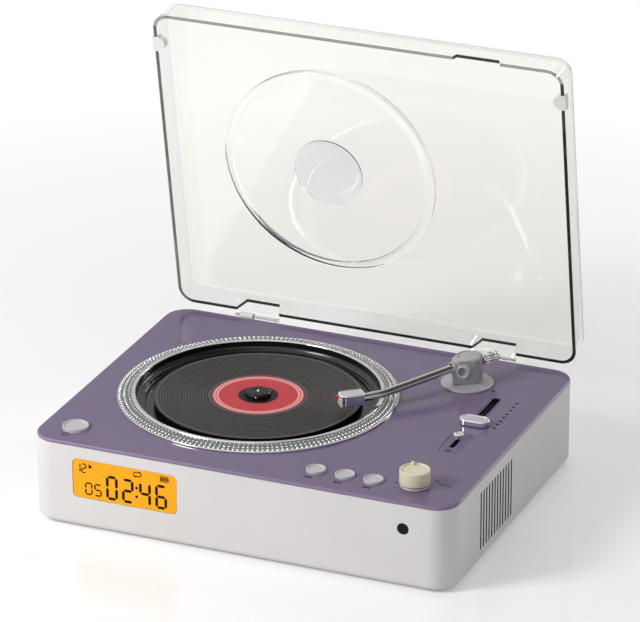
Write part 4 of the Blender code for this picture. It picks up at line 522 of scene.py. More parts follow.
def grownPiece(name, tree, values, place, recalc=False):
    piece = bpy.data.objects.new(name, bpy.data.meshes.new(name))
    bpy.context.scene.collection.objects.link(piece)
    grow = piece.modifiers.new("grow", "NODES")
    grow.node_group = tree
    for item in tree.interface.items_tree:
        if item.in_out == "INPUT":
            grow[item.identifier] = values[item.name]
    bakeModifiers(piece)
    piece.data.transform(place)
    if recalc:
        edit = bmesh.new()
        edit.from_mesh(piece.data)
        bmesh.ops.recalc_face_normals(edit, faces=edit.faces)
        edit.to_mesh(piece.data)
        edit.free()
    return piece


studRing, barRow, ribRing, slotRow = studRingTree(), barRowTree(), ribRingTree(), slotRowTree()
upright = Matrix.Rotation(tau / 4, 4, "X")  # a plan drawn in XY stands up, facing -Y
print("node trees made")


# Case
caseSizes = {"width": 255.0, "depth": 200.4, "corner": 14.0, "wall": 2.2, "bottom": 1.2,
             "top": 50.6, "footRound": 4.0, "slots": 12, "slotPitch": 4.3, "slotWidth": 1.8,
             "slotHeight": 35.1, "slotY": -30.5, "slotZ": 26.0, "slotSpan": 27.0, "cutDepth": 4.0,
             "edge": 0.25}
displaySizes = {"x": -68.6, "z": 31.5, "width": 64.3, "height": 24.0, "corner": 3.5}
receiverSizes = {"x": 99.2, "z": 36.4, "radius": 3.5}
backHoles = {"usbA": (-50.0, 14.75, 13.7, 6.3, 0.3),  # x, z, width, height and corner
             "usbC": (-20.0, 13.5, 9.6, 3.8, 1.9), "jack": (10.0, 15.4, 6.6, 6.6, 3.3)}


def wallHole(name, outline, side=-1):  # side is -1 for the front wall and 1 for the back one
    place = placeAt(0, side * caseSizes["depth"] / 2, 0, upright)
    return prismPiece(name, outline, -caseSizes["cutDepth"], caseSizes["cutDepth"], place)


def caseTone(face):  # painted shade: the inside and the walls of the speaker slots are dark
    size = caseSizes
    x, y, z = planSpot(face.center)
    halfWide, halfDeep, wall = size["width"] / 2, size["depth"] / 2, size["wall"]
    onBottom = face.normal.z > 0.5 and z + deckZ / mm < size["bottom"] + wall + 0.1
    inSlot = (halfWide - wall < abs(x) < halfWide - 0.02 and abs(face.normal.x) < 0.8
              and abs(y - size["slotY"]) < size["slotSpan"])
    inside = abs(x) < halfWide - wall + 0.05 and abs(y) < halfDeep - wall + 0.05
    inward = face.normal.x * x + face.normal.y * y < -1
    return slotShade if onBottom or inSlot or (inside and inward) else None


def makeCase():
    size, show, eye, wall = caseSizes, displaySizes, receiverSizes, caseSizes["wall"]
    bottom, top = size["bottom"], size["top"]
    profile = filleted([(size["footRound"] + 8, bottom), (0, bottom, size["footRound"]),
                        (0, top)], steps=10)
    shell = softBlock("caseShell", size["width"], size["depth"], size["corner"], profile,
                      placeAt(), casePaint, 24)
    cutters = [softBlock("caseHollow", size["width"] - 2 * wall, size["depth"] - 2 * wall,
                         size["corner"] - wall, [(0, bottom + wall), (0, top + 1)], placeAt(),
                         casePaint, 24),
               wallHole("displayCut", roundedRect(show["width"], show["height"], show["corner"],
                                                  10, show["x"], show["z"])),
               wallHole("receiverCut", circlePoints(eye["radius"], 40, eye["x"], eye["z"]))]
    cutters += [wallHole(label + "Cut", roundedRect(width, height, corner - 0.001, 8, x, z), 1)
                for label, (x, z, width, height, corner) in backHoles.items()]
    firstSlot = size["slotY"] - (size["slots"] - 1) / 2 * size["slotPitch"]
    turn = Matrix.Rotation(tau / 4, 4, "Z") @ upright
    for side in (-1, 1):
        place = placeAt((side * size["width"] - size["cutDepth"]) / 2, firstSlot, size["slotZ"],
                        turn)
        cutters.append(grownPiece("speakerSlots", slotRow, {
            "Count": size["slots"], "Pitch": size["slotPitch"], "Width": size["slotWidth"],
            "Height": size["slotHeight"], "Depth": size["cutDepth"], "Finish": casePaint},
            place, True))
    carve(shell, cutters)
    softenEdges(shell, size["edge"])
    paintFaces(shell, caseTone)
    settle(evenShading(shell), "case", "case_grey", "lower_case")


makeCase()
print("case made")


# Deck plate
deckSizes = {"thick": 1.8, "edge": 1.0, "hole": 75.9, "pivotX": 74.2, "pivotY": 61.6,
             "pivotHole": 6.1, "slotX": 97.9, "slotY": 27.7, "slotWidth": 4.4, "slotLength": 40.6,
             "slotCorner": 1.5, "knobHole": 3.3, "soft": 0.2, "rim": 4.2}
keySizes = {"y": -81.0, "radius": 5.65, "rise": 1.5, "x": (39.7, 57.0, 74.0), "powerX": -107.4,
            "powerRadius": 7.6, "powerRise": 1.9, "gap": 0.3, "dip": 0.75, "flange": 0.9,
            "flangeTop": -2.1, "flangeLow": -3.1, "stem": 1.5, "stemLow": -5.4}
modeSizes = {"x": 97.7, "y": -17.2, "width": 12.0, "length": 29.7, "gap": 0.25, "restY": -12.8,
             "travel": 10.0, "slot": 3.1, "thick": 1.8, "stem": 1.5, "stemLow": -4.5, "cap": 3.1,
             "capTop": 4.0}
knobSizes = {"x": 97.5, "y": -78.5, "radius": 8.6, "top": 10.3, "skirt": 8.3, "nub": 1.1,
             "nubRise": 1.5, "nubAngle": 120, "nubReach": 7.05, "low": 2.4, "shaft": 3.0,
             "shaftLow": -7.0, "skirtTop": 1.6, "skirtLow": 0.3}
discX, discY = planSpot(discCentre)[:2]


def deckTone(face):  # painted shade: the walls of the slider's slot are black; painted highlight: the rounded edge a little paler
    size = deckSizes
    x, y = planSpot(face.center)[:2]
    inSlot = (abs(x - size["slotX"]) < size["slotWidth"] / 2 + 0.4
              and abs(y - size["slotY"]) < size["slotLength"] / 2 + 0.7)
    atRim = (abs(x) > caseSizes["width"] / 2 - size["rim"]
             or abs(y) > caseSizes["depth"] / 2 - size["rim"])
    if inSlot and abs(face.normal.z) < 0.5:
        return wellBlack
    return deckRimHighlight if atRim and face.normal.z < 0.93 else None


def makeDeck():
    size, keys, mode = deckSizes, keySizes, modeSizes
    profile = filleted([(0, -size["thick"]), (0, 0, size["edge"]), (size["edge"] + 8, 0)], steps=8)
    deck = softBlock("deckPlate", caseSizes["width"], caseSizes["depth"], caseSizes["corner"],
                     profile, placeOnDeck(), deckGloss, 24)
    holes = [circlePoints(size["hole"], 128, discX, discY),
             circlePoints(size["pivotHole"], 48, size["pivotX"], size["pivotY"]),
             roundedRect(size["slotWidth"], size["slotLength"], size["slotCorner"], 8,
                         size["slotX"], size["slotY"]),
             capsulePoints(mode["width"] + 2 * mode["gap"], mode["length"] + 2 * mode["gap"], 14,
                           mode["x"], mode["y"]),
             circlePoints(size["knobHole"], 40, knobSizes["x"], knobSizes["y"]),
             circlePoints(keys["powerRadius"] + keys["gap"], 64, keys["powerX"], keys["y"])]
    holes += [circlePoints(keys["radius"] + keys["gap"], 64, x, keys["y"]) for x in keys["x"]]
    carve(deck, [prismPiece("hole", hole, -size["thick"] - 1, 1, placeOnDeck()) for hole in holes])
    softenEdges(deck, size["soft"])
    paintFaces(deck, deckTone)
    settle(evenShading(deck), "case", "deck_lilac", "deck_panel")


makeDeck()
print("deck made")


# Ring, well, disc and hub
ringSizes = {"inner": 70.4, "crestEdge": 72.4, "slopeEnd": 80.1, "outer": 80.9, "crest": 3.0,
             "segments": 256, "studs": 178, "tilt": 0.18,
             "rows": [(74.0, 2.3, (0.95, 0.85, 0.8)), (76.6, 1.85, (1.7, 1.25, 1.0)),
                      (79.2, 1.4, (2.0, 1.75, 1.0))]}  # radius, height and size of the studs


def discReach(face):  # a face's distance from the disc's middle
    x, y = planSpot(face.center)[:2]
    return math.hypot(x - discX, y - discY)


def ringTone(face):  # the slope under the studs
    size = ringSizes
    onSlope = size["crestEdge"] + 0.25 < discReach(face) < size["slopeEnd"] + 0.05
    low = planSpot(face.center)[2] < size["crest"] - 0.3
    return grooveDark if onSlope and low and face.normal.z > 0.2 else None


def makeRing():
    size = ringSizes
    edge, end, outer = size["crestEdge"], size["slopeEnd"], size["outer"]
    profile = filleted([(size["inner"], 1.8, 0.2), (size["inner"], size["crest"], 0.35),
                        (edge, size["crest"], 0.35), (edge + 0.3, 2.5, 0.15), (end, 1.1, 0.1),
                        (end + 0.2, 1.3, 0.15), (outer, 1.1, 0.25), (outer, 0.3), (76.5, 0.3),
                        (73.9, 1.3), (edge, 1.8)], closed=True, steps=4)
    ring = turnedPiece("brightRing", profile, placeOnDeck(discX, discY), brightMetal,
                       size["segments"], True)
    paintFaces(ring, ringTone)
    settle(ring, "case", "chrome", "platter_ring")
    for index, (radius, level, stud) in enumerate(size["rows"]):
        studs = grownPiece("ringStuds%d" % (index + 1), studRing, {
            "Radius": radius, "Count": size["studs"], "Level": level, "Stud Size": stud,
            "Tilt": size["tilt"], "Finish": studMetal}, placeOnDeck(discX, discY))
        settle(studs, "case", "chrome")


wellSizes = {"ledgeRadius": 65.0, "ledge": -3.1, "floor": -4.6, "wall": 1.5, "hub": 15.0,
             "flange": 82.4, "flangeTop": -2.1, "slotLength": 41.6, "slotWidth": 14.0,
             "slotX": -40.5, "segments": 192}


def makeWell():
    size, inner, wall = wellSizes, ringSizes["inner"], wellSizes["wall"]
    low, ledge, flange = size["floor"] - wall, size["ledge"], size["flangeTop"]
    profile = filleted([(inner, 1.5), (inner + wall, 1.5), (inner + wall, flange),
                        (size["flange"], flange), (size["flange"], flange - wall),
                        (inner + wall, flange - wall), (inner + wall, ledge - wall),
                        (size["ledgeRadius"] + wall, ledge - wall), (size["ledgeRadius"], low),
                        (size["hub"], low), (size["hub"], size["floor"]),
                        (size["ledgeRadius"] - 0.3, size["floor"], 0.4),
                        (size["ledgeRadius"], ledge, 0.3), (inner - 0.2, ledge, 3.2)],
                       closed=True, steps=10)
    well = turnedPiece("discWell", profile, placeOnDeck(discX, discY), wellBlack,
                       size["segments"], True)
    slot = roundedRect(size["slotLength"], size["slotWidth"], 3.5, 6)
    carve(well, [prismPiece("pickupSlot", slot, low - 1, size["floor"] + 1,
                            placeOnDeck(discX + size["slotX"], discY))])
    settle(evenShading(well), "case", "black_gloss", "disc_well")


discSizes = {"outer": 60.0, "thick": 1.2, "top": -0.3, "hole": 7.5, "core": 11.6, "label": 26.35,
             "bands": [(22.8, 24.0), (24.6, 25.7)], "grooveWidth": 0.7, "grooveDepth": 0.22,
             "grooves": [29.4 + 1.62 * line for line in range(18)], "segments": 256}


def discTone(face):
    size, reach = discSizes, discReach(face)
    if face.normal.z < -0.5 or reach < size["core"]:
        return discCore
    if any(low < reach < high for low, high in size["bands"]):
        return labelPink
    if reach < size["label"]:
        return labelRed
    # painted shade: the groove walls are dark
    return discGrooveShade if face.normal.z < 0.95 else None


def makeDisc():
    size = discSizes
    top, outer, hole = size["thick"], size["outer"], size["hole"]
    profile = [(hole, 0), (hole, top - 0.1), (hole + 0.1, top)]
    edges = [size["core"], size["label"]] + [radius for band in size["bands"] for radius in band]
    profile += [(radius, top) for radius in sorted(edges)]
    half = size["grooveWidth"] / 2
    for radius in size["grooves"]:
        profile += [(radius - half, top), (radius, top - size["grooveDepth"]), (radius + half, top)]
    profile += [(outer - 0.25, top), (outer, top - 0.2), (outer, 0.1), (outer - 0.1, 0)]
    disc = turnedPiece("recordDisc", profile, placeOnDeck(discX, discY, size["top"] - top),
                       discDark, size["segments"], True, 20)
    paintFaces(disc, discTone)
    settle(disc, "turntable", "disc_dark", "compact_disc")


hubSizes = {"radius": 7.2, "top": 2.4, "dip": 0.25, "dipRadius": 2.3, "chamfer": 0.8,
            "platform": 13.5, "platformGap": 0.3, "platformThick": 1.4, "shaft": 8.0, "pits": 6,
            "pitRadius": 0.55, "pitReach": 4.6, "balls": 3, "ballRadius": 0.6, "ballTurn": -78,
            "pin": 0.95}


def rodProfile(radius, low, high, soft=0):  # soft rounds the upper edge
    corner = (radius, high, soft) if soft else (radius, high)
    return filleted([(0, low), (radius, low), corner, (0, high)])


def makeHub():
    size = hubSizes
    radius, top, chamfer, pin = size["radius"], size["top"], size["chamfer"], size["pin"]
    under = discSizes["top"] - discSizes["thick"] - size["platformGap"]
    below = under - size["platformThick"]
    profile = filleted([(0, top - size["dip"]), (size["dipRadius"], top - size["dip"], 0.15),
                        (size["dipRadius"] + 0.3, top, 0.15), (radius - chamfer, top, 0.3),
                        (radius, top - chamfer, 0.3), (radius, under), (size["platform"], under),
                        (size["platform"], below), (1.0, below), (1.0, below - size["shaft"]),
                        (0, below - size["shaft"])])
    hub = turnedPiece("spindleHub", profile, placeOnDeck(discX, discY), hubBlack, 96)
    pits = []
    for index in range(size["pits"]):
        angle = tau * (index + 0.5) / size["pits"]
        place = placeOnDeck(discX + size["pitReach"] * math.cos(angle),
                            discY + size["pitReach"] * math.sin(angle), top)
        pits.append(turnedPiece("pit", rodProfile(size["pitRadius"], -0.6, 0.5), place, hubBlack,
                                20))
    carve(hub, pits)
    settle(evenShading(hub), "turntable", "black_matt", "spindle_hub")
    pinProfile = filleted([(0, pin), (pin, pin, pin * 0.9), (pin, -0.4), (0, -0.4)], steps=8)
    settle(turnedPiece("hubPin", pinProfile, placeOnDeck(discX, discY, top - 0.3), brightMetal, 32),
           "turntable", "chrome")
    turn = Matrix.Rotation(math.radians(size["ballTurn"]), 4, "Z")
    balls = grownPiece("hubBalls", studRing, {
        "Radius": radius - 0.15, "Count": size["balls"], "Level": 1.0,
        "Stud Size": (2 * size["ballRadius"],) * 3, "Tilt": 0.0, "Finish": brightMetal},
        placeOnDeck(discX, discY, 0, turn))
    settle(balls, "turntable", "chrome")


makeRing()
makeWell()
makeDisc()
makeHub()
print("disc bay made")


# Tonearm, drawn from its pivot with z from the deck
armSizes = {"baseRadius": 15.3, "headRadius": 7.75, "headOffset": 1.4, "noseRadius": 4.4,
            "noseReach": 5.6, "noseSteps": 20, "flatSteps": 28, "drumSteps": 104, "knurl": 0.45,
            "knurlSteps": 4, "headTop": 17.3, "headBottom": 2.7, "topRound": 0.7,
            "capRadius": 6.9, "shaft": 4.0, "shaftLow": -8.0, "sleeve": 5.8, "axis": 12.5,
            "angle": 34.0, "bend": 18.0, "bendRadius": 18.0, "bendSteps": 20, "straight": 56.0,
            "last": 8.5, "drop": 5.6, "tube": 2.45, "socket": 2.6, "start": 6.0, "collar": 3.4,
            "collarReach": 11.4, "dial": 3.9, "dialBore": 2.7, "dialReach": 10.8,
            "dialHeight": 11.2, "dialAngle": -6.0}


def armHeading(degrees):
    angle = math.radians(degrees)
    return Vector((-math.sin(angle), -math.cos(angle), 0))


def armPath():
    size = armSizes
    heading = armHeading(size["angle"])
    points = [heading * size["start"], heading * size["straight"]]
    steps = size["bendSteps"]
    stride = size["bendRadius"] * math.radians(size["bend"]) / steps
    for step in range(steps):
        heading = armHeading(size["angle"] + size["bend"] * (step + 0.5) / steps)
        points.append(points[-1] + heading * stride)
    points.append(points[-1] + armHeading(size["angle"] + size["bend"]) * size["last"])
    runs = [0.0]
    for first, second in zip(points, points[1:]):
        runs.append(runs[-1] + (second - first).length)
    return [Vector((point.x, point.y, size["axis"] - size["drop"] * run / runs[-1]))
            for point, run in zip(points, runs)]


def armPlace(offset=(0, 0, 0), turn=None):
    return placeOnDeck(deckSizes["pivotX"] + offset[0], deckSizes["pivotY"] + offset[1], offset[2],
                       turn)


def facing(degrees):  # a piece turned along +Z lies along the heading
    return Matrix.Rotation(-math.radians(degrees), 4, "Z") @ upright


def armTurned(name, profile, around, spot=(0, 0, 0), degrees=None, finish=armPaint, closed=False):
    turn = None if degrees is None else facing(degrees)
    return turnedPiece(name, profile, armPlace(spot, turn), finish, around, closed)


def headOutline(shrink=0.0):  # a smooth nose, and fine upright knurls round the rest
    size = armSizes
    back, front = -size["headOffset"], size["noseReach"]
    nose, drum = size["noseRadius"] - shrink, size["headRadius"] - shrink
    spread = math.acos((drum - nose) / (front - back))
    line = arcPoints(nose, size["noseSteps"], -spread, spread, front, 0)
    knurled = []
    for step in range(1, size["flatSteps"]):
        share = step / size["flatSteps"]
        radius, middle = nose + (drum - nose) * share, front + (back - front) * share
        knurled.append((middle, radius, spread))
    for step in range(size["drumSteps"] + 1):
        angle = spread + (tau - 2 * spread) * step / size["drumSteps"]
        knurled.append((back, drum, angle))
    knurled += [(middle, radius, -angle) for middle, radius, angle in
                reversed(knurled[:size["flatSteps"] - 1])]
    for index, (middle, radius, angle) in enumerate(knurled):
        wave = 0.5 - 0.5 * math.cos(tau * (index + 1) / size["knurlSteps"])
        radius -= size["knurl"] * wave
        line.append((middle + radius * math.cos(angle), radius * math.sin(angle)))
    return line


def makeArmBase():
    rim, shaft = armSizes["baseRadius"], armSizes["shaft"] + 0.3
    sleeve, low = armSizes["sleeve"], armSizes["shaftLow"]
    profile = filleted([(shaft, 2.4), (8.6, 2.4, 1.2), (rim - 0.9, 1.35, 0.5), (rim, 1.2, 0.3),
                        (rim, 0.3), (sleeve, 0.3), (sleeve, low), (shaft, low)], closed=True)
    settle(armTurned("armFlange", profile, 128, closed=True), "case", "arm_grey", "tonearm_base")


def makeArmHead():
    size, angle, dialAngle = armSizes, armSizes["angle"], armSizes["dialAngle"]
    top, bore = size["headTop"], size["dialBore"]
    profile = filleted([(0, size["headBottom"]), (0, top, size["topRound"]),
                        (size["topRound"] + 0.05, top)], steps=6)
    edit = bmesh.new()
    loftRings(edit, [[(x, y, z) for x, y in headOutline(inset)] for inset, z in profile])
    turn = Matrix.Rotation(-tau / 4 - math.radians(angle), 4, "Z")
    head = keepMesh("armHead", edit, armPlace(turn=turn), armPaint)
    onAxis, onDial = (0, 0, size["axis"]), (0, 0, size["dialHeight"])
    carve(head, [armTurned("armCollar", rodProfile(size["collar"], 0, size["collarReach"], 0.5),
                           48, onAxis, angle),
                 armTurned("dialBoss", rodProfile(size["dial"], 0, size["dialReach"], 0.45), 48,
                           onDial, dialAngle),
                 armTurned("armShaft", rodProfile(size["shaft"], size["shaftLow"], 4.0), 40)],
          "UNION")
    tubeStart = Vector(onAxis) + armHeading(angle) * size["start"]
    boreStart = Vector(onDial) + armHeading(dialAngle) * (size["dialReach"] - 3.0)
    middle = Vector((0, 0, top)) - armHeading(angle) * size["headOffset"]
    boreProfile = filleted([(0, 0), (bore, 0), (bore, 2.7), (bore + 0.6, 3.3), (bore + 0.6, 4.0),
                            (0, 4.0)])
    carve(head, [armTurned("tubeSocket", rodProfile(size["socket"], 0, 8), 40, tubeStart, angle),
                 armTurned("dialBore", boreProfile, 40, boreStart, dialAngle),
                 armTurned("capRecess", rodProfile(size["capRadius"] + 0.3, -0.9, 1.0), 72,
                           middle)])
    settle(evenShading(head), "tonearm", "arm_grey", "tonearm_head")
    reach = size["capRadius"]
    capProfile = filleted([(0, 0.0), (reach - 1.0, 0.0, 0.4), (reach - 0.5, -0.4, 0.1),
                           (reach - 0.4, -0.6), (0, -0.6)])
    settle(armTurned("armCap", capProfile, 72, middle), "tonearm", "arm_grey", "tonearm_cap")


weightSizes = {"radius": 3.1, "start": 10.0, "end": 21.5, "ribs": 12, "ribRadius": 0.5}


def makeArmTube():
    size, weight, heading = armSizes, weightSizes, armHeading(armSizes["angle"])
    tube = tubePiece("armTube", armPath(), size["tube"], armPlace(), tubeMetal)
    settle(tube, "tonearm", "chrome", "tonearm_tube")
    rear = Vector((0, 0, size["axis"])) - heading * weight["start"]
    length, radius = weight["end"] - weight["start"], weight["radius"]
    backwards = size["angle"] + 180
    profile = filleted([(0, 0), (radius - 0.5, 0, 0.2), (radius, 0.9, 0.2),
                        (radius, length - 1.4, 0.3), (radius - 0.7, length, 0.4), (0, length)])
    settle(armTurned("armWeight", profile, 64, rear, backwards, plainSteel), "tonearm", "chrome",
           "tonearm_counterweight")
    ribs = grownPiece("weightRibs", ribRing, {
        "Radius": radius - 0.15, "Count": weight["ribs"], "Start": 0.0,
        "Sweep": tau * (weight["ribs"] - 1) / weight["ribs"], "Rib Radius": weight["ribRadius"],
        "Rib Height": length - 2.8, "Finish": brightMetal},
        armPlace(rear - heading * (length / 2), facing(backwards)))
    settle(ribs, "tonearm", "chrome")


shellSizes = {"length": 14.0, "width": 8.0, "bottom": 3.6, "top": 10.7, "cap": 1.4, "over": 0.6,
              "plate": 1.4, "gap": 1.1, "gapDepth": 1.2, "frontRound": 4.5, "backRound": 2.6,
              "tipAhead": 1.0, "tipAside": 2.0}


def makeShellBody(place):
    size = shellSizes
    end, top = size["length"] / 2, size["top"] - size["cap"] - 0.3
    tall, middle = top - size["bottom"], (top + size["bottom"]) / 2
    gapFront = end - size["plate"]
    gapBack = gapFront - size["gap"]
    stations = [(-end, 0.4), (-end + 0.4, 0), (gapBack - 0.7, 0), (gapBack, 0.5),
                (gapBack + 0.01, size["gapDepth"]), (gapFront - 0.01, size["gapDepth"]),
                (gapFront, 0.1), (gapFront + 0.2, 0), (end - 0.3, 0), (end, 0.35)]
    rings = []
    for x, inset in stations:
        outline = roundedRect(size["width"] - 2 * inset, tall - 2 * inset, 0.7, 4)
        rings.append([(x, y, middle + z) for y, z in outline])
    edit = bmesh.new()
    loftRings(edit, rings)
    body = keepMesh("headshellBody", edit, place, shellLilac)
    inward = place.inverted()

    # painted shade: the gap behind the front plate is black; the front plate and the lip behind the
    # gap are silver
    def tone(face):
        x = (inward @ face.center).x
        if gapBack + 0.004 < x < gapFront - 0.004:
            return wellBlack
        return frontSilver if x >= gapFront - 0.004 or gapBack - 0.71 < x < gapBack else None

    paintFaces(body, tone)
    settle(evenShading(body), "tonearm", "deck_lilac", "headshell_body")


def makeShellCap(place):
    size, top, low = shellSizes, shellSizes["top"], shellSizes["top"] - shellSizes["cap"]
    profile = filleted([(0.5, low), (0, low, 0.3), (0, top - 0.02, 0.55), (0.8, top, 0.15),
                        (1.0, top - 0.25, 0.1), (4.0, top - 0.25)], steps=4)[:-1]
    wide, deep = size["length"] + 2 * size["over"], size["width"] + 2 * size["over"]
    rings = []
    for inset, z in profile:
        outline = endedRect(wide - 2 * inset, deep - 2 * inset, size["frontRound"] - inset,
                            max(size["backRound"] - inset, 0.3), 14)
        rings.append([(x, y, z) for x, y in outline])
    edit = bmesh.new()
    loftRings(edit, rings)
    cap = keepMesh("headshellCap", edit, place, brightMetal)
    paintFaces(cap, lambda face: capSilver if face.normal.z > 0.95
               and planSpot(face.center)[2] < top - 0.1 else None)
    settle(evenShading(cap), "tonearm", "button_grey", "headshell_cap")


def makeHeadshell():
    size, angle = shellSizes, armSizes["angle"] + armSizes["bend"]
    heading, half = armHeading(angle), shellSizes["length"] / 2
    end = armPath()[-1]
    centre = Vector((end.x, end.y, 0)) + heading * (0.3 + half)
    place = armPlace(centre, Matrix.Rotation(-tau / 4 - math.radians(angle), 4, "Z"))
    makeShellBody(place)
    makeShellCap(place)
    across = Vector((-heading.y, heading.x, 0))
    spot = centre + heading * (half + size["tipAhead"]) - across * size["tipAside"]
    profile = filleted([(0, 5.9), (0.9, 5.9, 0.5), (0.9, 8.7, 0.2), (0.8, 9.0), (0, 9.0)])
    settle(armTurned("stylusTip", profile, 32, spot, finish=tipRed), "tonearm", "tip_red",
           "stylus_tip")


makeArmBase()
makeArmHead()
makeArmTube()
makeHeadshell()
print("tonearm made")


# Keys and knobs
def keyProfile(radius, rise):  # a dished top, a flange under the deck and a stem
    size = keySizes
    dip, flange, stem = rise - size["dip"], radius + size["flange"], size["stem"]
    return filleted([(0, dip), (radius - 1.2, dip, 0.6), (radius - 0.8, rise, 0.15),
                     (radius, rise, 0.35), (radius, size["flangeTop"]),
                     (flange, size["flangeTop"]), (flange, size["flangeLow"]),
                     (stem, size["flangeLow"]), (stem, size["stemLow"]), (0, size["stemLow"])])


def makeKeys():
    size = keySizes
    rows = [("previous", "keyPrevious", size["x"][0]), ("play", "keyPlay", size["x"][1]),
            ("next", "keyNext", size["x"][2]), ("power", "keyPower", size["powerX"])]
    for label, name, x in rows:
        radius, rise = ((size["powerRadius"], size["powerRise"]) if label == "power"
                        else (size["radius"], size["rise"]))
        key = turnedPiece(name, keyProfile(radius, rise), placeOnDeck(x, size["y"]), keyGrey, 96)
        settle(key, label + "_key", "button_grey", "button_" + label)


def makeKnob():
    size = knobSizes
    radius, top, nub, tip = size["radius"], size["top"], size["nub"], size["top"] + size["nubRise"]
    low, shaft, skirt = size["low"], size["shaft"], size["skirt"]
    place = placeOnDeck(size["x"], size["y"])
    profile = filleted([(0, top - 0.75), (radius - 1.1, top - 0.75, 0.35),
                        (radius - 0.95, top, 0.12), (radius, top, 0.4), (radius, low, 0.2),
                        (shaft, low), (shaft, size["shaftLow"]), (0, size["shaftLow"])])
    knob = turnedPiece("volumeKnob", profile, place, knobCream, 128)
    angle = math.radians(size["nubAngle"])
    nubProfile = filleted([(0, tip), (nub, tip, 0.9), (nub, top - 0.9), (0, top - 0.9)], steps=8)
    carve(knob, [turnedPiece("knobNub", nubProfile,
                             placeOnDeck(size["x"] + size["nubReach"] * math.cos(angle),
                                         size["y"] + size["nubReach"] * math.sin(angle)),
                             knobCream, 32)], "UNION")
    settle(evenShading(knob), "volume_control", "knob_cream", "volume_knob")
    skirtProfile = filleted([(shaft + 0.3, size["skirtTop"]), (skirt, size["skirtTop"], 0.2),
                             (skirt, size["skirtLow"], 0.15), (shaft + 0.3, size["skirtLow"])],
                            closed=True)
    settle(turnedPiece("knobSkirt", skirtProfile, place, keyGrey, 96, True), "volume_control",
           "button_grey", "volume_knob_skirt")


sliderSizes = {"x": 98.5, "y": 10.2, "length": 18.0, "width": 9.8, "low": 0.6, "high": 3.7,
               "rim": 1.0}


def makeSlider():
    size = sliderSizes
    rim, low, high = size["rim"], size["low"], size["high"]
    place = placeOnDeck(size["x"], size["y"])
    profile = filleted([(1.0, low), (0, low, 0.3), (0, high, 0.6), (rim, high, 0.2),
                        (rim + 0.15, high - 0.25, 0.1), (rim + 2.5, high - 0.25)], steps=5)
    knob = softBlock("sliderKnob", size["length"], size["width"],
                     capsuleCorner(size["length"], size["width"]), profile, place, brightMetal)
    carve(knob, [prismPiece("sliderNeck", capsulePoints(2.4, 5.0, 8), -5.0, low + 0.5, place)],
          "UNION")
    paintFaces(knob, lambda face: keyGrey if face.normal.z > 0.9
               and high - 0.4 < planSpot(face.center)[2] < high - 0.2 else None)
    settle(evenShading(knob), "speed_slider", "chrome", "slider_knob")


def makeModeSwitch():
    size, cap, stem, top = modeSizes, modeSizes["cap"], modeSizes["stem"], modeSizes["capTop"]
    place = placeOnDeck(size["x"], size["y"])
    plate = softBlock("modePlate", size["width"], size["length"],
                      capsuleCorner(size["width"], size["length"]),
                      filleted([(0, -size["thick"]), (0, 0, 0.35), (1.0, 0)], steps=4), place,
                      plateGloss)
    slotY = size["restY"] - size["travel"] / 2 - size["y"]
    slot = capsulePoints(size["slot"], size["travel"] + size["slot"], 10, 0, slotY)
    carve(plate, [prismPiece("modeSlot", slot, -3, 1, place)])
    # painted shade: the walls of the slot in the mode plate are dark lilac
    paintFaces(plate, lambda face: slotShadeLilac if abs(face.normal.z) < 0.5
               and abs(planSpot(face.center)[0] - size["x"]) < 2 else None)
    settle(evenShading(plate), "case", "deck_lilac", "mode_plate")
    profile = filleted([(0, top - 0.4), (cap - 1.1, top - 0.4, 0.3), (cap - 0.8, top, 0.2),
                        (cap, top - 0.2, 0.3), (cap - 0.2, top - 0.8, 0.2),
                        (stem + 0.2, top - 1.1, 0.4), (stem, size["stemLow"]),
                        (0, size["stemLow"])])
    lever = turnedPiece("modeLever", profile, placeOnDeck(size["x"], size["restY"]), brightMetal,
                        64)
    settle(lever, "mode_switch", "chrome", "mode_switch_knob")


makeKeys()
makeKnob()
makeSlider()
makeModeSwitch()
print("controls made")


# Flat marks: each is a thin closed sheet lying on its surface
def markPiece(name, shapes, thick, place, finish):
    edit = bmesh.new()
    for shape in shapes:
        loftRings(edit, [[(x, y, z) for x, y in shape] for z in (0, thick)])
    return keepMesh(name, edit, place, finish)


def ringShape(radius, width, steps=40, start=0.0, end=tau, x=0.0, y=0.0):
    return arcPoints(radius + width / 2, steps, start, end, x, y) + list(reversed(
        arcPoints(radius - width / 2, steps, start, end, x, y)))


def barShape(x, y, width, height):
    return [(x - width / 2, y - height / 2), (x + width / 2, y - height / 2),
            (x + width / 2, y + height / 2), (x - width / 2, y + height / 2)]


def arrowShape(x, y, width, height):  # points to +x, or to -x with a negative width
    return [(x - width / 2, y - height / 2), (x + width / 2, y), (x - width / 2, y + height / 2)]


digitSegments = {"0": "abcdef", "1": "bc", "2": "abged", "3": "abgcd", "4": "fgbc", "5": "afgcd",
                 "6": "afgedc", "7": "abc", "8": "abcdefg", "9": "abcdfg"}


def segmentShapes(digit, x, z, width, height, stroke):
    half, gap = stroke / 2, stroke * 0.14
    shapes = []
    spans = {"a": (0, height, width, height), "d": (0, 0, width, 0), "g": (0, height / 2, width,
                                                                             height / 2),
             "e": (0, 0, 0, height / 2), "f": (0, height / 2, 0, height),
             "c": (width, 0, width, height / 2), "b": (width, height / 2, width, height)}
    for label in digitSegments[digit]:
        startX, startZ, endX, endZ = spans[label]
        along = Vector((endX - startX, endZ - startZ)).normalized()
        across = Vector((-along.y, along.x)) * half
        first = Vector((x + startX, z + startZ)) + along * gap
        last = Vector((x + endX, z + endZ)) - along * gap
        corners = [first, first + along * half - across, last - along * half - across, last,
                   last - along * half + across, first + along * half + across]
        shapes.append([tuple(corner) for corner in corners])
    return shapes


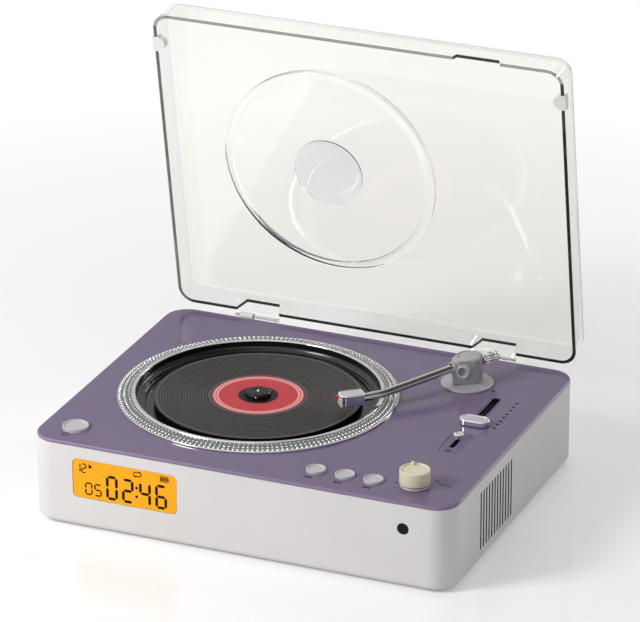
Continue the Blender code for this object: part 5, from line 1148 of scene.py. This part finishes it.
# Digits with their place, width, height, stroke and pitch; shapes with place, width and height
displayMarks = {"digits": [("12", -98.6, 35.4, 2.5, 5.2, 0.8, 3.6),
                           ("05", -92.7, 22.4, 3.7, 6.8, 0.95, 5.7),
                           ("02", -79.3, 22.1, 5.6, 13.3, 1.7, 9.8),
                           ("46", -58.9, 22.1, 5.6, 13.3, 1.7, 9.9)],
                "dots": [(-61.3, 26.2), (-61.3, 31.6)], "dotRadius": 0.85,
                "arrows": [(-89.5, 39.6, 2.5, 2.8), (-58.9, 41.4, 1.4, 1.6),
                           (-62.5, 38.7, -1.4, 1.6)],
                "loop": [(-61.0, 41.2, 3.6, 0.6), (-60.4, 38.9, 3.6, 0.6), (-63.0, 39.9, 0.6, 1.7),
                         (-58.4, 40.2, 0.6, 1.7)],
                "battery": [(-44.3, 41.6, 5.6, 0.4), (-44.3, 38.4, 5.6, 0.4),
                            (-41.4, 40.0, 0.5, 1.7)],
                "cells": [(-46.2 + 1.25 * cell, 40.0, 0.95, 2.2) for cell in range(4)],
                "behind": 0.3, "thick": 0.04}


def makeDisplayMarks():
    given = displayMarks
    shapes = []
    for digits, x, z, width, height, stroke, pitch in given["digits"]:
        for index, digit in enumerate(digits):
            shapes += segmentShapes(digit, x + index * pitch, z, width, height, stroke)
    shapes += [circlePoints(given["dotRadius"], 16, x, z) for x, z in given["dots"]]
    shapes += [arrowShape(*arrow) for arrow in given["arrows"]]
    shapes += [barShape(*bar) for bar in given["loop"] + given["battery"] + given["cells"]]
    front = -caseSizes["depth"] / 2 + given["behind"]
    marks = markPiece("displayDigits", shapes, given["thick"], placeAt(0, front, 0, upright),
                      displayInk)
    settle(marks, "case", "black_matt")


markSizes = {"keyY": -90.6, "shift": -0.6, "arrow": (1.8, 3.2), "bar": 0.6, "line": 0.5,
             "power": (-109.0, -91.2, 1.8), "armArrow": (92.6, 57.2, 2.6, 3.0),
             "knobLine": [(105.4, -66.6), (107.4, -68.9), (109.2, -70.7), (110.5, -71.5)],
             "knobDots": 7, "dotStep": (0.95, -0.12), "dot": (0.55, 0.8),
             "knobStart": (86.3, -78.1, 1.6, 1.2), "modeY": -27.2, "modeArcs": (1.3, 2.2),
             "modeBar": (0.5, 1.4), "slotRim": 3.0, "slotLine": 0.3, "scaleMarks": 8,
             "scaleStep": 5.15, "scaleMark": 1.7, "scale": (110.7, 9.6), "thick": 0.05}


def keyMarks():
    size, y = markSizes, markSizes["keyY"]
    (wide, tall), bar = size["arrow"], size["bar"]
    previous, play, following = (x + size["shift"] for x in keySizes["x"])
    shapes = [arrowShape(play - 0.9, y, wide * 1.2, tall), barShape(play + 0.8, y, bar, tall),
              barShape(play + 1.9, y, bar, tall)]
    for x, way in ((previous, -1), (following, 1)):
        shapes += [arrowShape(x - way * wide * 0.6, y, way * wide, tall),
                   arrowShape(x + way * wide * 0.4, y, way * wide, tall),
                   barShape(x + way * wide * 1.1, y, bar, tall)]
    x, y, reach = size["power"]
    return shapes + [ringShape(reach, bar, 30, math.radians(120), math.radians(420), x, y),
                     barShape(x, y + reach * 0.8, bar, reach * 1.3)]


def knobMarks():  # a short curve beside the knob, and dots that lead on from it
    size = markSizes
    shapes = [barShape(*size["knobStart"])]
    points = [Vector(point) for point in size["knobLine"]]
    for first, last in zip(points, points[1:]):
        side = Vector((first.y - last.y, last.x - first.x)).normalized() * size["line"] / 2
        corners = (first - side, last - side, last + side, first + side)
        shapes.append([tuple(corner) for corner in corners])
    for step in range(size["knobDots"]):
        spot = points[-1] + Vector(size["dotStep"]) * (step + 1)
        shapes.append(barShape(spot.x, spot.y, *size["dot"]))
    return shapes


def slotMarks():  # the mode switch's sign, and the fine line round the slider's slot
    size, slot, mode = markSizes, deckSizes, modeSizes
    half, line, span = size["slotRim"], size["slotLine"], deckSizes["slotLength"]
    shapes = [ringShape(radius, size["line"], 16, math.radians(200), math.radians(340),
                        mode["x"], size["modeY"] + 0.2 * index)
              for index, radius in enumerate(size["modeArcs"])]
    shapes.append(barShape(mode["x"], size["modeY"], *size["modeBar"]))
    shapes += [barShape(slot["slotX"] + side * half, slot["slotY"] - 1, line, span - 2 * half)
               for side in (-1, 1)]
    far = slot["slotY"] + span / 2 - half + 0.8
    return shapes + [ringShape(half, line, 20, 0, math.pi, slot["slotX"], far)]


def makeDeckMarks():
    size, mark = markSizes, markSizes["scaleMark"]
    shapes = keyMarks() + [arrowShape(*size["armArrow"])] + knobMarks() + slotMarks()
    settle(markPiece("deckMarks", shapes, size["thick"], placeOnDeck(), printInk), "case",
           "black_matt")
    scale = grownPiece("sliderScale", barRow, {
        "Count": size["scaleMarks"], "Step": (0, size["scaleStep"], 0),
        "Bar Size": (mark, mark, size["thick"]), "Finish": printInk},
        placeOnDeck(*size["scale"], 0.02))
    settle(scale, "case", "black_matt")


makeDisplayMarks()
makeDeckMarks()
print("marks made")


# Lid, drawn closed round the hinge pin and turned open
lidSizes = {"width": 252.1, "length": 195.7, "corner": 9.9, "depth": 18.4, "rim": 0.8,
            "back": -2.6, "wall": 2.0, "round": 2.4, "draft": 0.9, "dishX": -28.4,
            "dishFromRim": 97.0, "dish": 65.8, "dishFloor": 60.5, "dishDepth": 1.8,
            "dishStep": 0.8, "bead": 0.9, "disc": 21.2, "discThick": 1.0, "open": 80.1,
            "edgeSpan": 8.0, "hingeX": 75.0, "hingeNotch": (14.0, 10.5, 9.0), "fingerX": 74.0,
            "fingerNotch": (14.5, 12.9, 3.2)}  # notches: half widths low and high, height
lidTop = lidSizes["rim"] + lidSizes["depth"]
lidFront = lidSizes["back"] - lidSizes["length"]
dishY = lidSizes["back"] - lidSizes["dishFromRim"]


def lidPlace(x=0.0, y=0.0, z=0.0):
    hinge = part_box("hinge_pin_left")
    middle = (hinge[0] + hinge[1]) / 2
    turn = Matrix.Rotation(-math.radians(lidSizes["open"]), 4, "X")
    return (Matrix.Translation((0, middle.y, middle.z)) @ turn @ Matrix.Scale(mm, 4)
            @ Matrix.Translation((x, y, z)))


lidInward = lidPlace().inverted()  # from the open lid back to the closed lid's millimetres


def lidNotch(name, x, y, shape, low, high):
    wide, narrow, height = shape
    outline = [(x - wide, -1), (x + wide, -1), (x + narrow, height), (x - narrow, height)]
    return prismPiece(name, outline, low, high, lidPlace(0, y, lidSizes["rim"]) @ upright)


def makeLidShell():
    size, wall, draft = lidSizes, lidSizes["wall"], lidSizes["draft"]
    depth, dish, flat = size["dishDepth"], size["dish"], size["dishFloor"]
    place = lidPlace(0, size["back"] - size["length"] / 2)
    plan = (size["width"], size["length"], size["corner"])
    outer = filleted([(0, size["rim"]), (draft, lidTop, size["round"]), (draft + 10, lidTop)],
                     steps=8)
    inner = filleted([(wall, size["rim"] - 1), (draft + wall, lidTop - wall,
                                                size["round"] - wall / 2),
                      (draft + 12, lidTop - wall)], steps=6)
    shell = softBlock("lidShell", *plan, outer, place, lidClear, 20)
    carve(shell, [softBlock("lidHollow", *plan, inner, place, lidClear, 20)])
    middle, half = (dish + flat) / 2, (dish - flat) / 2
    bead = [(middle - half * math.cos(angle), -depth - size["bead"] * math.sin(angle))
            for angle in (math.pi * part / 16 for part in range(17))]
    under = [(0, -depth)] + bead + [(dish + 0.1, 0.8), (0, 0.8)]
    carve(shell, [turnedPiece("dishUnder", under, lidPlace(size["dishX"], dishY, lidTop - wall),
                              lidClear, 160)], "UNION")
    over = filleted([(0, -depth), (flat, -depth, 1.6), (dish - 0.1, -size["dishStep"], 0.4),
                     (dish, 2.0), (0, 2.0)])
    notches = [lidNotch("hingeNotch", side * size["hingeX"], size["back"], size["hingeNotch"],
                        -1, 4) for side in (-1, 1)]
    notches.append(lidNotch("fingerNotch", size["fingerX"], lidFront, size["fingerNotch"], -4, 1))
    carve(shell, [turnedPiece("dishOver", over, lidPlace(size["dishX"], dishY, lidTop), lidClear,
                              160)] + notches)
    return shell


def cutRim(shell):  # plane cuts at the corners let each side of the rim have its own painted shade
    span, place = lidSizes["edgeSpan"], lidPlace()
    edit = bmesh.new()
    edit.from_mesh(shell.data)
    for spot, way in (((0, lidFront + span, 0), (0, 1, 0)),
                      ((span - lidSizes["width"] / 2, 0, 0), (1, 0, 0))):
        bmesh.ops.bisect_plane(edit, geom=edit.verts[:] + edit.edges[:] + edit.faces[:],
                               plane_co=place @ Vector(spot),
                               plane_no=(place.to_3x3() @ Vector(way)).normalized())
    edit.to_mesh(shell.data)
    edit.free()
    shadeRound(shell)


def lidTone(face):
    size, hinge, finger = lidSizes, lidSizes["hingeNotch"], lidSizes["fingerNotch"]
    spot, normal = lidInward @ face.center, (lidInward.to_3x3() @ face.normal).normalized()
    atHinge = abs(abs(spot.x) - size["hingeX"]) < hinge[0] and spot.y > size["back"] - 3
    atFinger = abs(spot.x - size["fingerX"]) < finger[0] + 0.1 and spot.y < lidFront + 3
    low = spot.z < size["rim"] + (hinge if atHinge else finger)[2] + 0.1
    fromDish = math.hypot(spot.x - size["dishX"], spot.y - dishY)
    # painted shade on the rim and the notch sides: black, olive on the left side, lighter at the
    # front
    if spot.z < size["rim"] + 0.05 or (abs(normal.y) < 0.7 and low and (atHinge or atFinger)):
        if spot.y < lidFront + size["edgeSpan"] and not atFinger:
            return lidRimShadeLight
        return lidRimShadeOlive if spot.x < size["edgeSpan"] - size["width"] / 2 else lidRimShade
    # painted shade: the walls get a greyer tint
    if fromDish > size["dish"] + 3 and abs(normal.z) < 0.985:
        # painted light: the outer rounding and the front wall get a paler tint
        outside = spot.z > lidTop - size["round"] - 0.2 or spot.y < lidFront + 3
        return lidCornerLight if outside else lidWallShade
    # painted highlight: the dish band is paler
    return lidBandHighlight if size["dishFloor"] - 0.3 < fromDish < size["dish"] + 0.3 else None


def makeLid():
    size = lidSizes
    shell = makeLidShell()
    cutRim(shell)
    paintFaces(shell, lidTone)
    settle(evenShading(shell), "lid", "clear", "lid_shell")
    low = -0.3 - size["discThick"]
    profile = filleted([(0, -0.3), (size["disc"], -0.3, 0.2), (size["disc"], low, 0.2), (0, low)])
    place = lidPlace(size["dishX"], dishY, lidTop - size["wall"] - size["dishDepth"])
    settle(turnedPiece("lidDisc", profile, place, lidLilac, 128), "lid", "clear_lilac",
           "lid_centre_disc")


makeLid()
print("lid made")

# CAD nodes that stay, with their finishes
nodeFinishes = {
    casePaint: ["hinge_bracket_left", "hinge_bracket_right"],
    leafClear: ["hinge_leaf_left", "hinge_leaf_right"],
    plainSteel: ["hinge_pin_left", "hinge_pin_right", "guide_rod_front", "guide_rod_back",
                 "spindle_motor", "sled_motor", "usb_a_socket", "usb_c_socket", "volume_encoder"],
    softRubber: ["foot_front_left", "foot_front_right", "foot_back_left", "foot_back_right"],
    bumperPale: ["lid_bumper_left", "lid_bumper_right"],
    displayAmber: ["display_window"],
    discCore: ["receiver_window"],
    mattBlack: ["display_module", "infrared_receiver", "audio_jack", "pickup_sled",
                "mechanism_chassis", "slider_fader"],
    slotShadeLilac: ["mode_switch_body"],
    gearWhite: ["drive_gear"],
    boardGreen: ["main_board", "key_board", "power_key_board"],
    cellBlue: ["battery_pack"],
    conePaper: ["speaker_left", "speaker_right"],
}
for finish, names in nodeFinishes.items():
    for name in names:
        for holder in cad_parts[name].material_slots:
            holder.material = finish


# Floor, light and camera
stageSizes = {"floor": 12.0, "under": 0.00005, "white": 0.88, "rough": 0.14, "shine": 0.4,
              "glow": 0.19, "near": 0.22, "far": 0.62}


def shownRays(tree):  # 1 for what the camera, metal and glass see, 0 for what lights the object
    path = addNode(tree, "ShaderNodeLightPath").outputs
    shown = mathOf(tree, "MAXIMUM", path["Is Camera Ray"], path["Is Glossy Ray"])
    return mathOf(tree, "MAXIMUM", shown, path["Is Transmission Ray"])


def makeFloor():
    size, level = stageSizes, stageSizes["white"]
    finish, tree, shader, place = newFinish(
        "paleFloor", Roughness=size["rough"], Specular_IOR_Level=size["shine"],
        Base_Color=(level, level, level, 1), Emission_Color=(1, 1, 1, 1))
    reach = addNode(tree, "ShaderNodeVectorMath", {0: place}, operation="LENGTH").outputs["Value"]
    fade = rangeOf(tree, reach, 0.0, 1.0, size["near"], size["far"])
    white = addNode(tree, "ShaderNodeEmission", {"Color": (1, 1, 1, 1), "Strength": 1.0})
    shown = shownRays(tree)
    glow = mathOf(tree, "MULTIPLY", shown, size["glow"])
    tree.links.new(glow, shader.inputs["Emission Strength"])
    mixed = addNode(tree, "ShaderNodeMixShader", {0: mathOf(tree, "MULTIPLY", fade, shown),
                                                  1: shader.outputs[0], 2: white.outputs[0]})
    tree.links.new(mixed.outputs[0], tree.nodes["Material Output"].inputs["Surface"])
    edit = bmesh.new()
    bmesh.ops.create_grid(edit, x_segments=1, y_segments=1, size=size["floor"])
    keepMesh("floor", edit, Matrix.Translation((0, 0, -size["under"])), finish)


# Two duller sides of the studio show only in gloss and metal: direction, start, end, level
worldSizes = {"soft": 0.42, "sides": [((0.72, 0.09, 0.69), 0.5, 0.93, 0.12),
                                      ((-0.355, 0.847, 0.394), 0.6, 0.95, 0.62)]}


def makeWorld():
    world = bpy.data.worlds.new("studio")
    bpy.context.scene.world = world
    world.use_nodes = True
    tree = world.node_tree
    soft = tree.nodes["Background"]
    soft.inputs["Color"].default_value = (1, 1, 1, 1)
    soft.inputs["Strength"].default_value = worldSizes["soft"]
    white = addNode(tree, "ShaderNodeBackground", {"Color": (1, 1, 1, 1), "Strength": 1.0})
    plain = addNode(tree, "ShaderNodeMixShader", {0: shownRays(tree), 1: soft.outputs[0],
                                                  2: white.outputs[0]})
    look = addNode(tree, "ShaderNodeTexCoord").outputs["Generated"]
    shade = 1.0
    for side, low, high, level in worldSizes["sides"]:
        along = addNode(tree, "ShaderNodeVectorMath", {0: look, 1: side},
                        operation="DOT_PRODUCT").outputs["Value"]
        fall = rangeOf(tree, along, 1.0, level, low, high, interpolation_type="SMOOTHSTEP")
        shade = mathOf(tree, "MULTIPLY", fall, shade)
    studio = addNode(tree, "ShaderNodeBackground", {"Color": (1, 1, 1, 1), "Strength": shade})
    path = addNode(tree, "ShaderNodeLightPath").outputs
    glossy = mathOf(tree, "MINIMUM", path["Glossy Depth"], 1.0)
    both = addNode(tree, "ShaderNodeMixShader", {0: glossy, 1: plain.outputs[0],
                                                 2: studio.outputs[0]})
    tree.links.new(both.outputs[0], tree.nodes["World Output"].inputs["Surface"])


lamps = {"keyLamp": ((-0.58, -0.68, 0.62), 0.35, 6.6),  # place, size in metres, watts
         "sideLamp": ((1.3, 0.5, 0.9), 1.0, 0.6),
         "backLamp": ((-0.4, 1.4, 1.6), 1.2, 2.0),
         "edgeLamp": ((0.87, 1.86, 0.85), 0.5, 5.0)}
lampTarget = (0, 0, 0.08)


def makeLamps():
    for name, (place, size, power) in lamps.items():
        lamp = bpy.data.lights.new(name, "AREA")
        lamp.shape = "DISK"
        lamp.size = size
        lamp.energy = power
        holder = bpy.data.objects.new(name, lamp)
        bpy.context.scene.collection.objects.link(holder)
        holder.location = place
        aim = Vector(lampTarget) - Vector(place)
        holder.rotation_euler = aim.to_track_quat("-Z", "Y").to_euler()


cameraSizes = {"place": (0.97044, -2.304197, 1.179), "heading": (-0.35548, 0.84742, -0.39436),
               "lens": 269.408, "sensor": 36.0, "farthest": 50.0}


def makeCamera():
    lens = bpy.data.cameras.new("photoCamera")
    lens.lens = cameraSizes["lens"]
    lens.sensor_width = cameraSizes["sensor"]
    lens.clip_end = cameraSizes["farthest"]
    holder = bpy.data.objects.new("photoCamera", lens)
    bpy.context.scene.collection.objects.link(holder)
    holder.location = cameraSizes["place"]
    holder.rotation_euler = Vector(cameraSizes["heading"]).to_track_quat("-Z", "Y").to_euler()
    bpy.context.scene.camera = holder


makeFloor()
makeWorld()
makeLamps()
makeCamera()
bpy.context.scene.view_settings.view_transform = "Standard"
print("stage made")
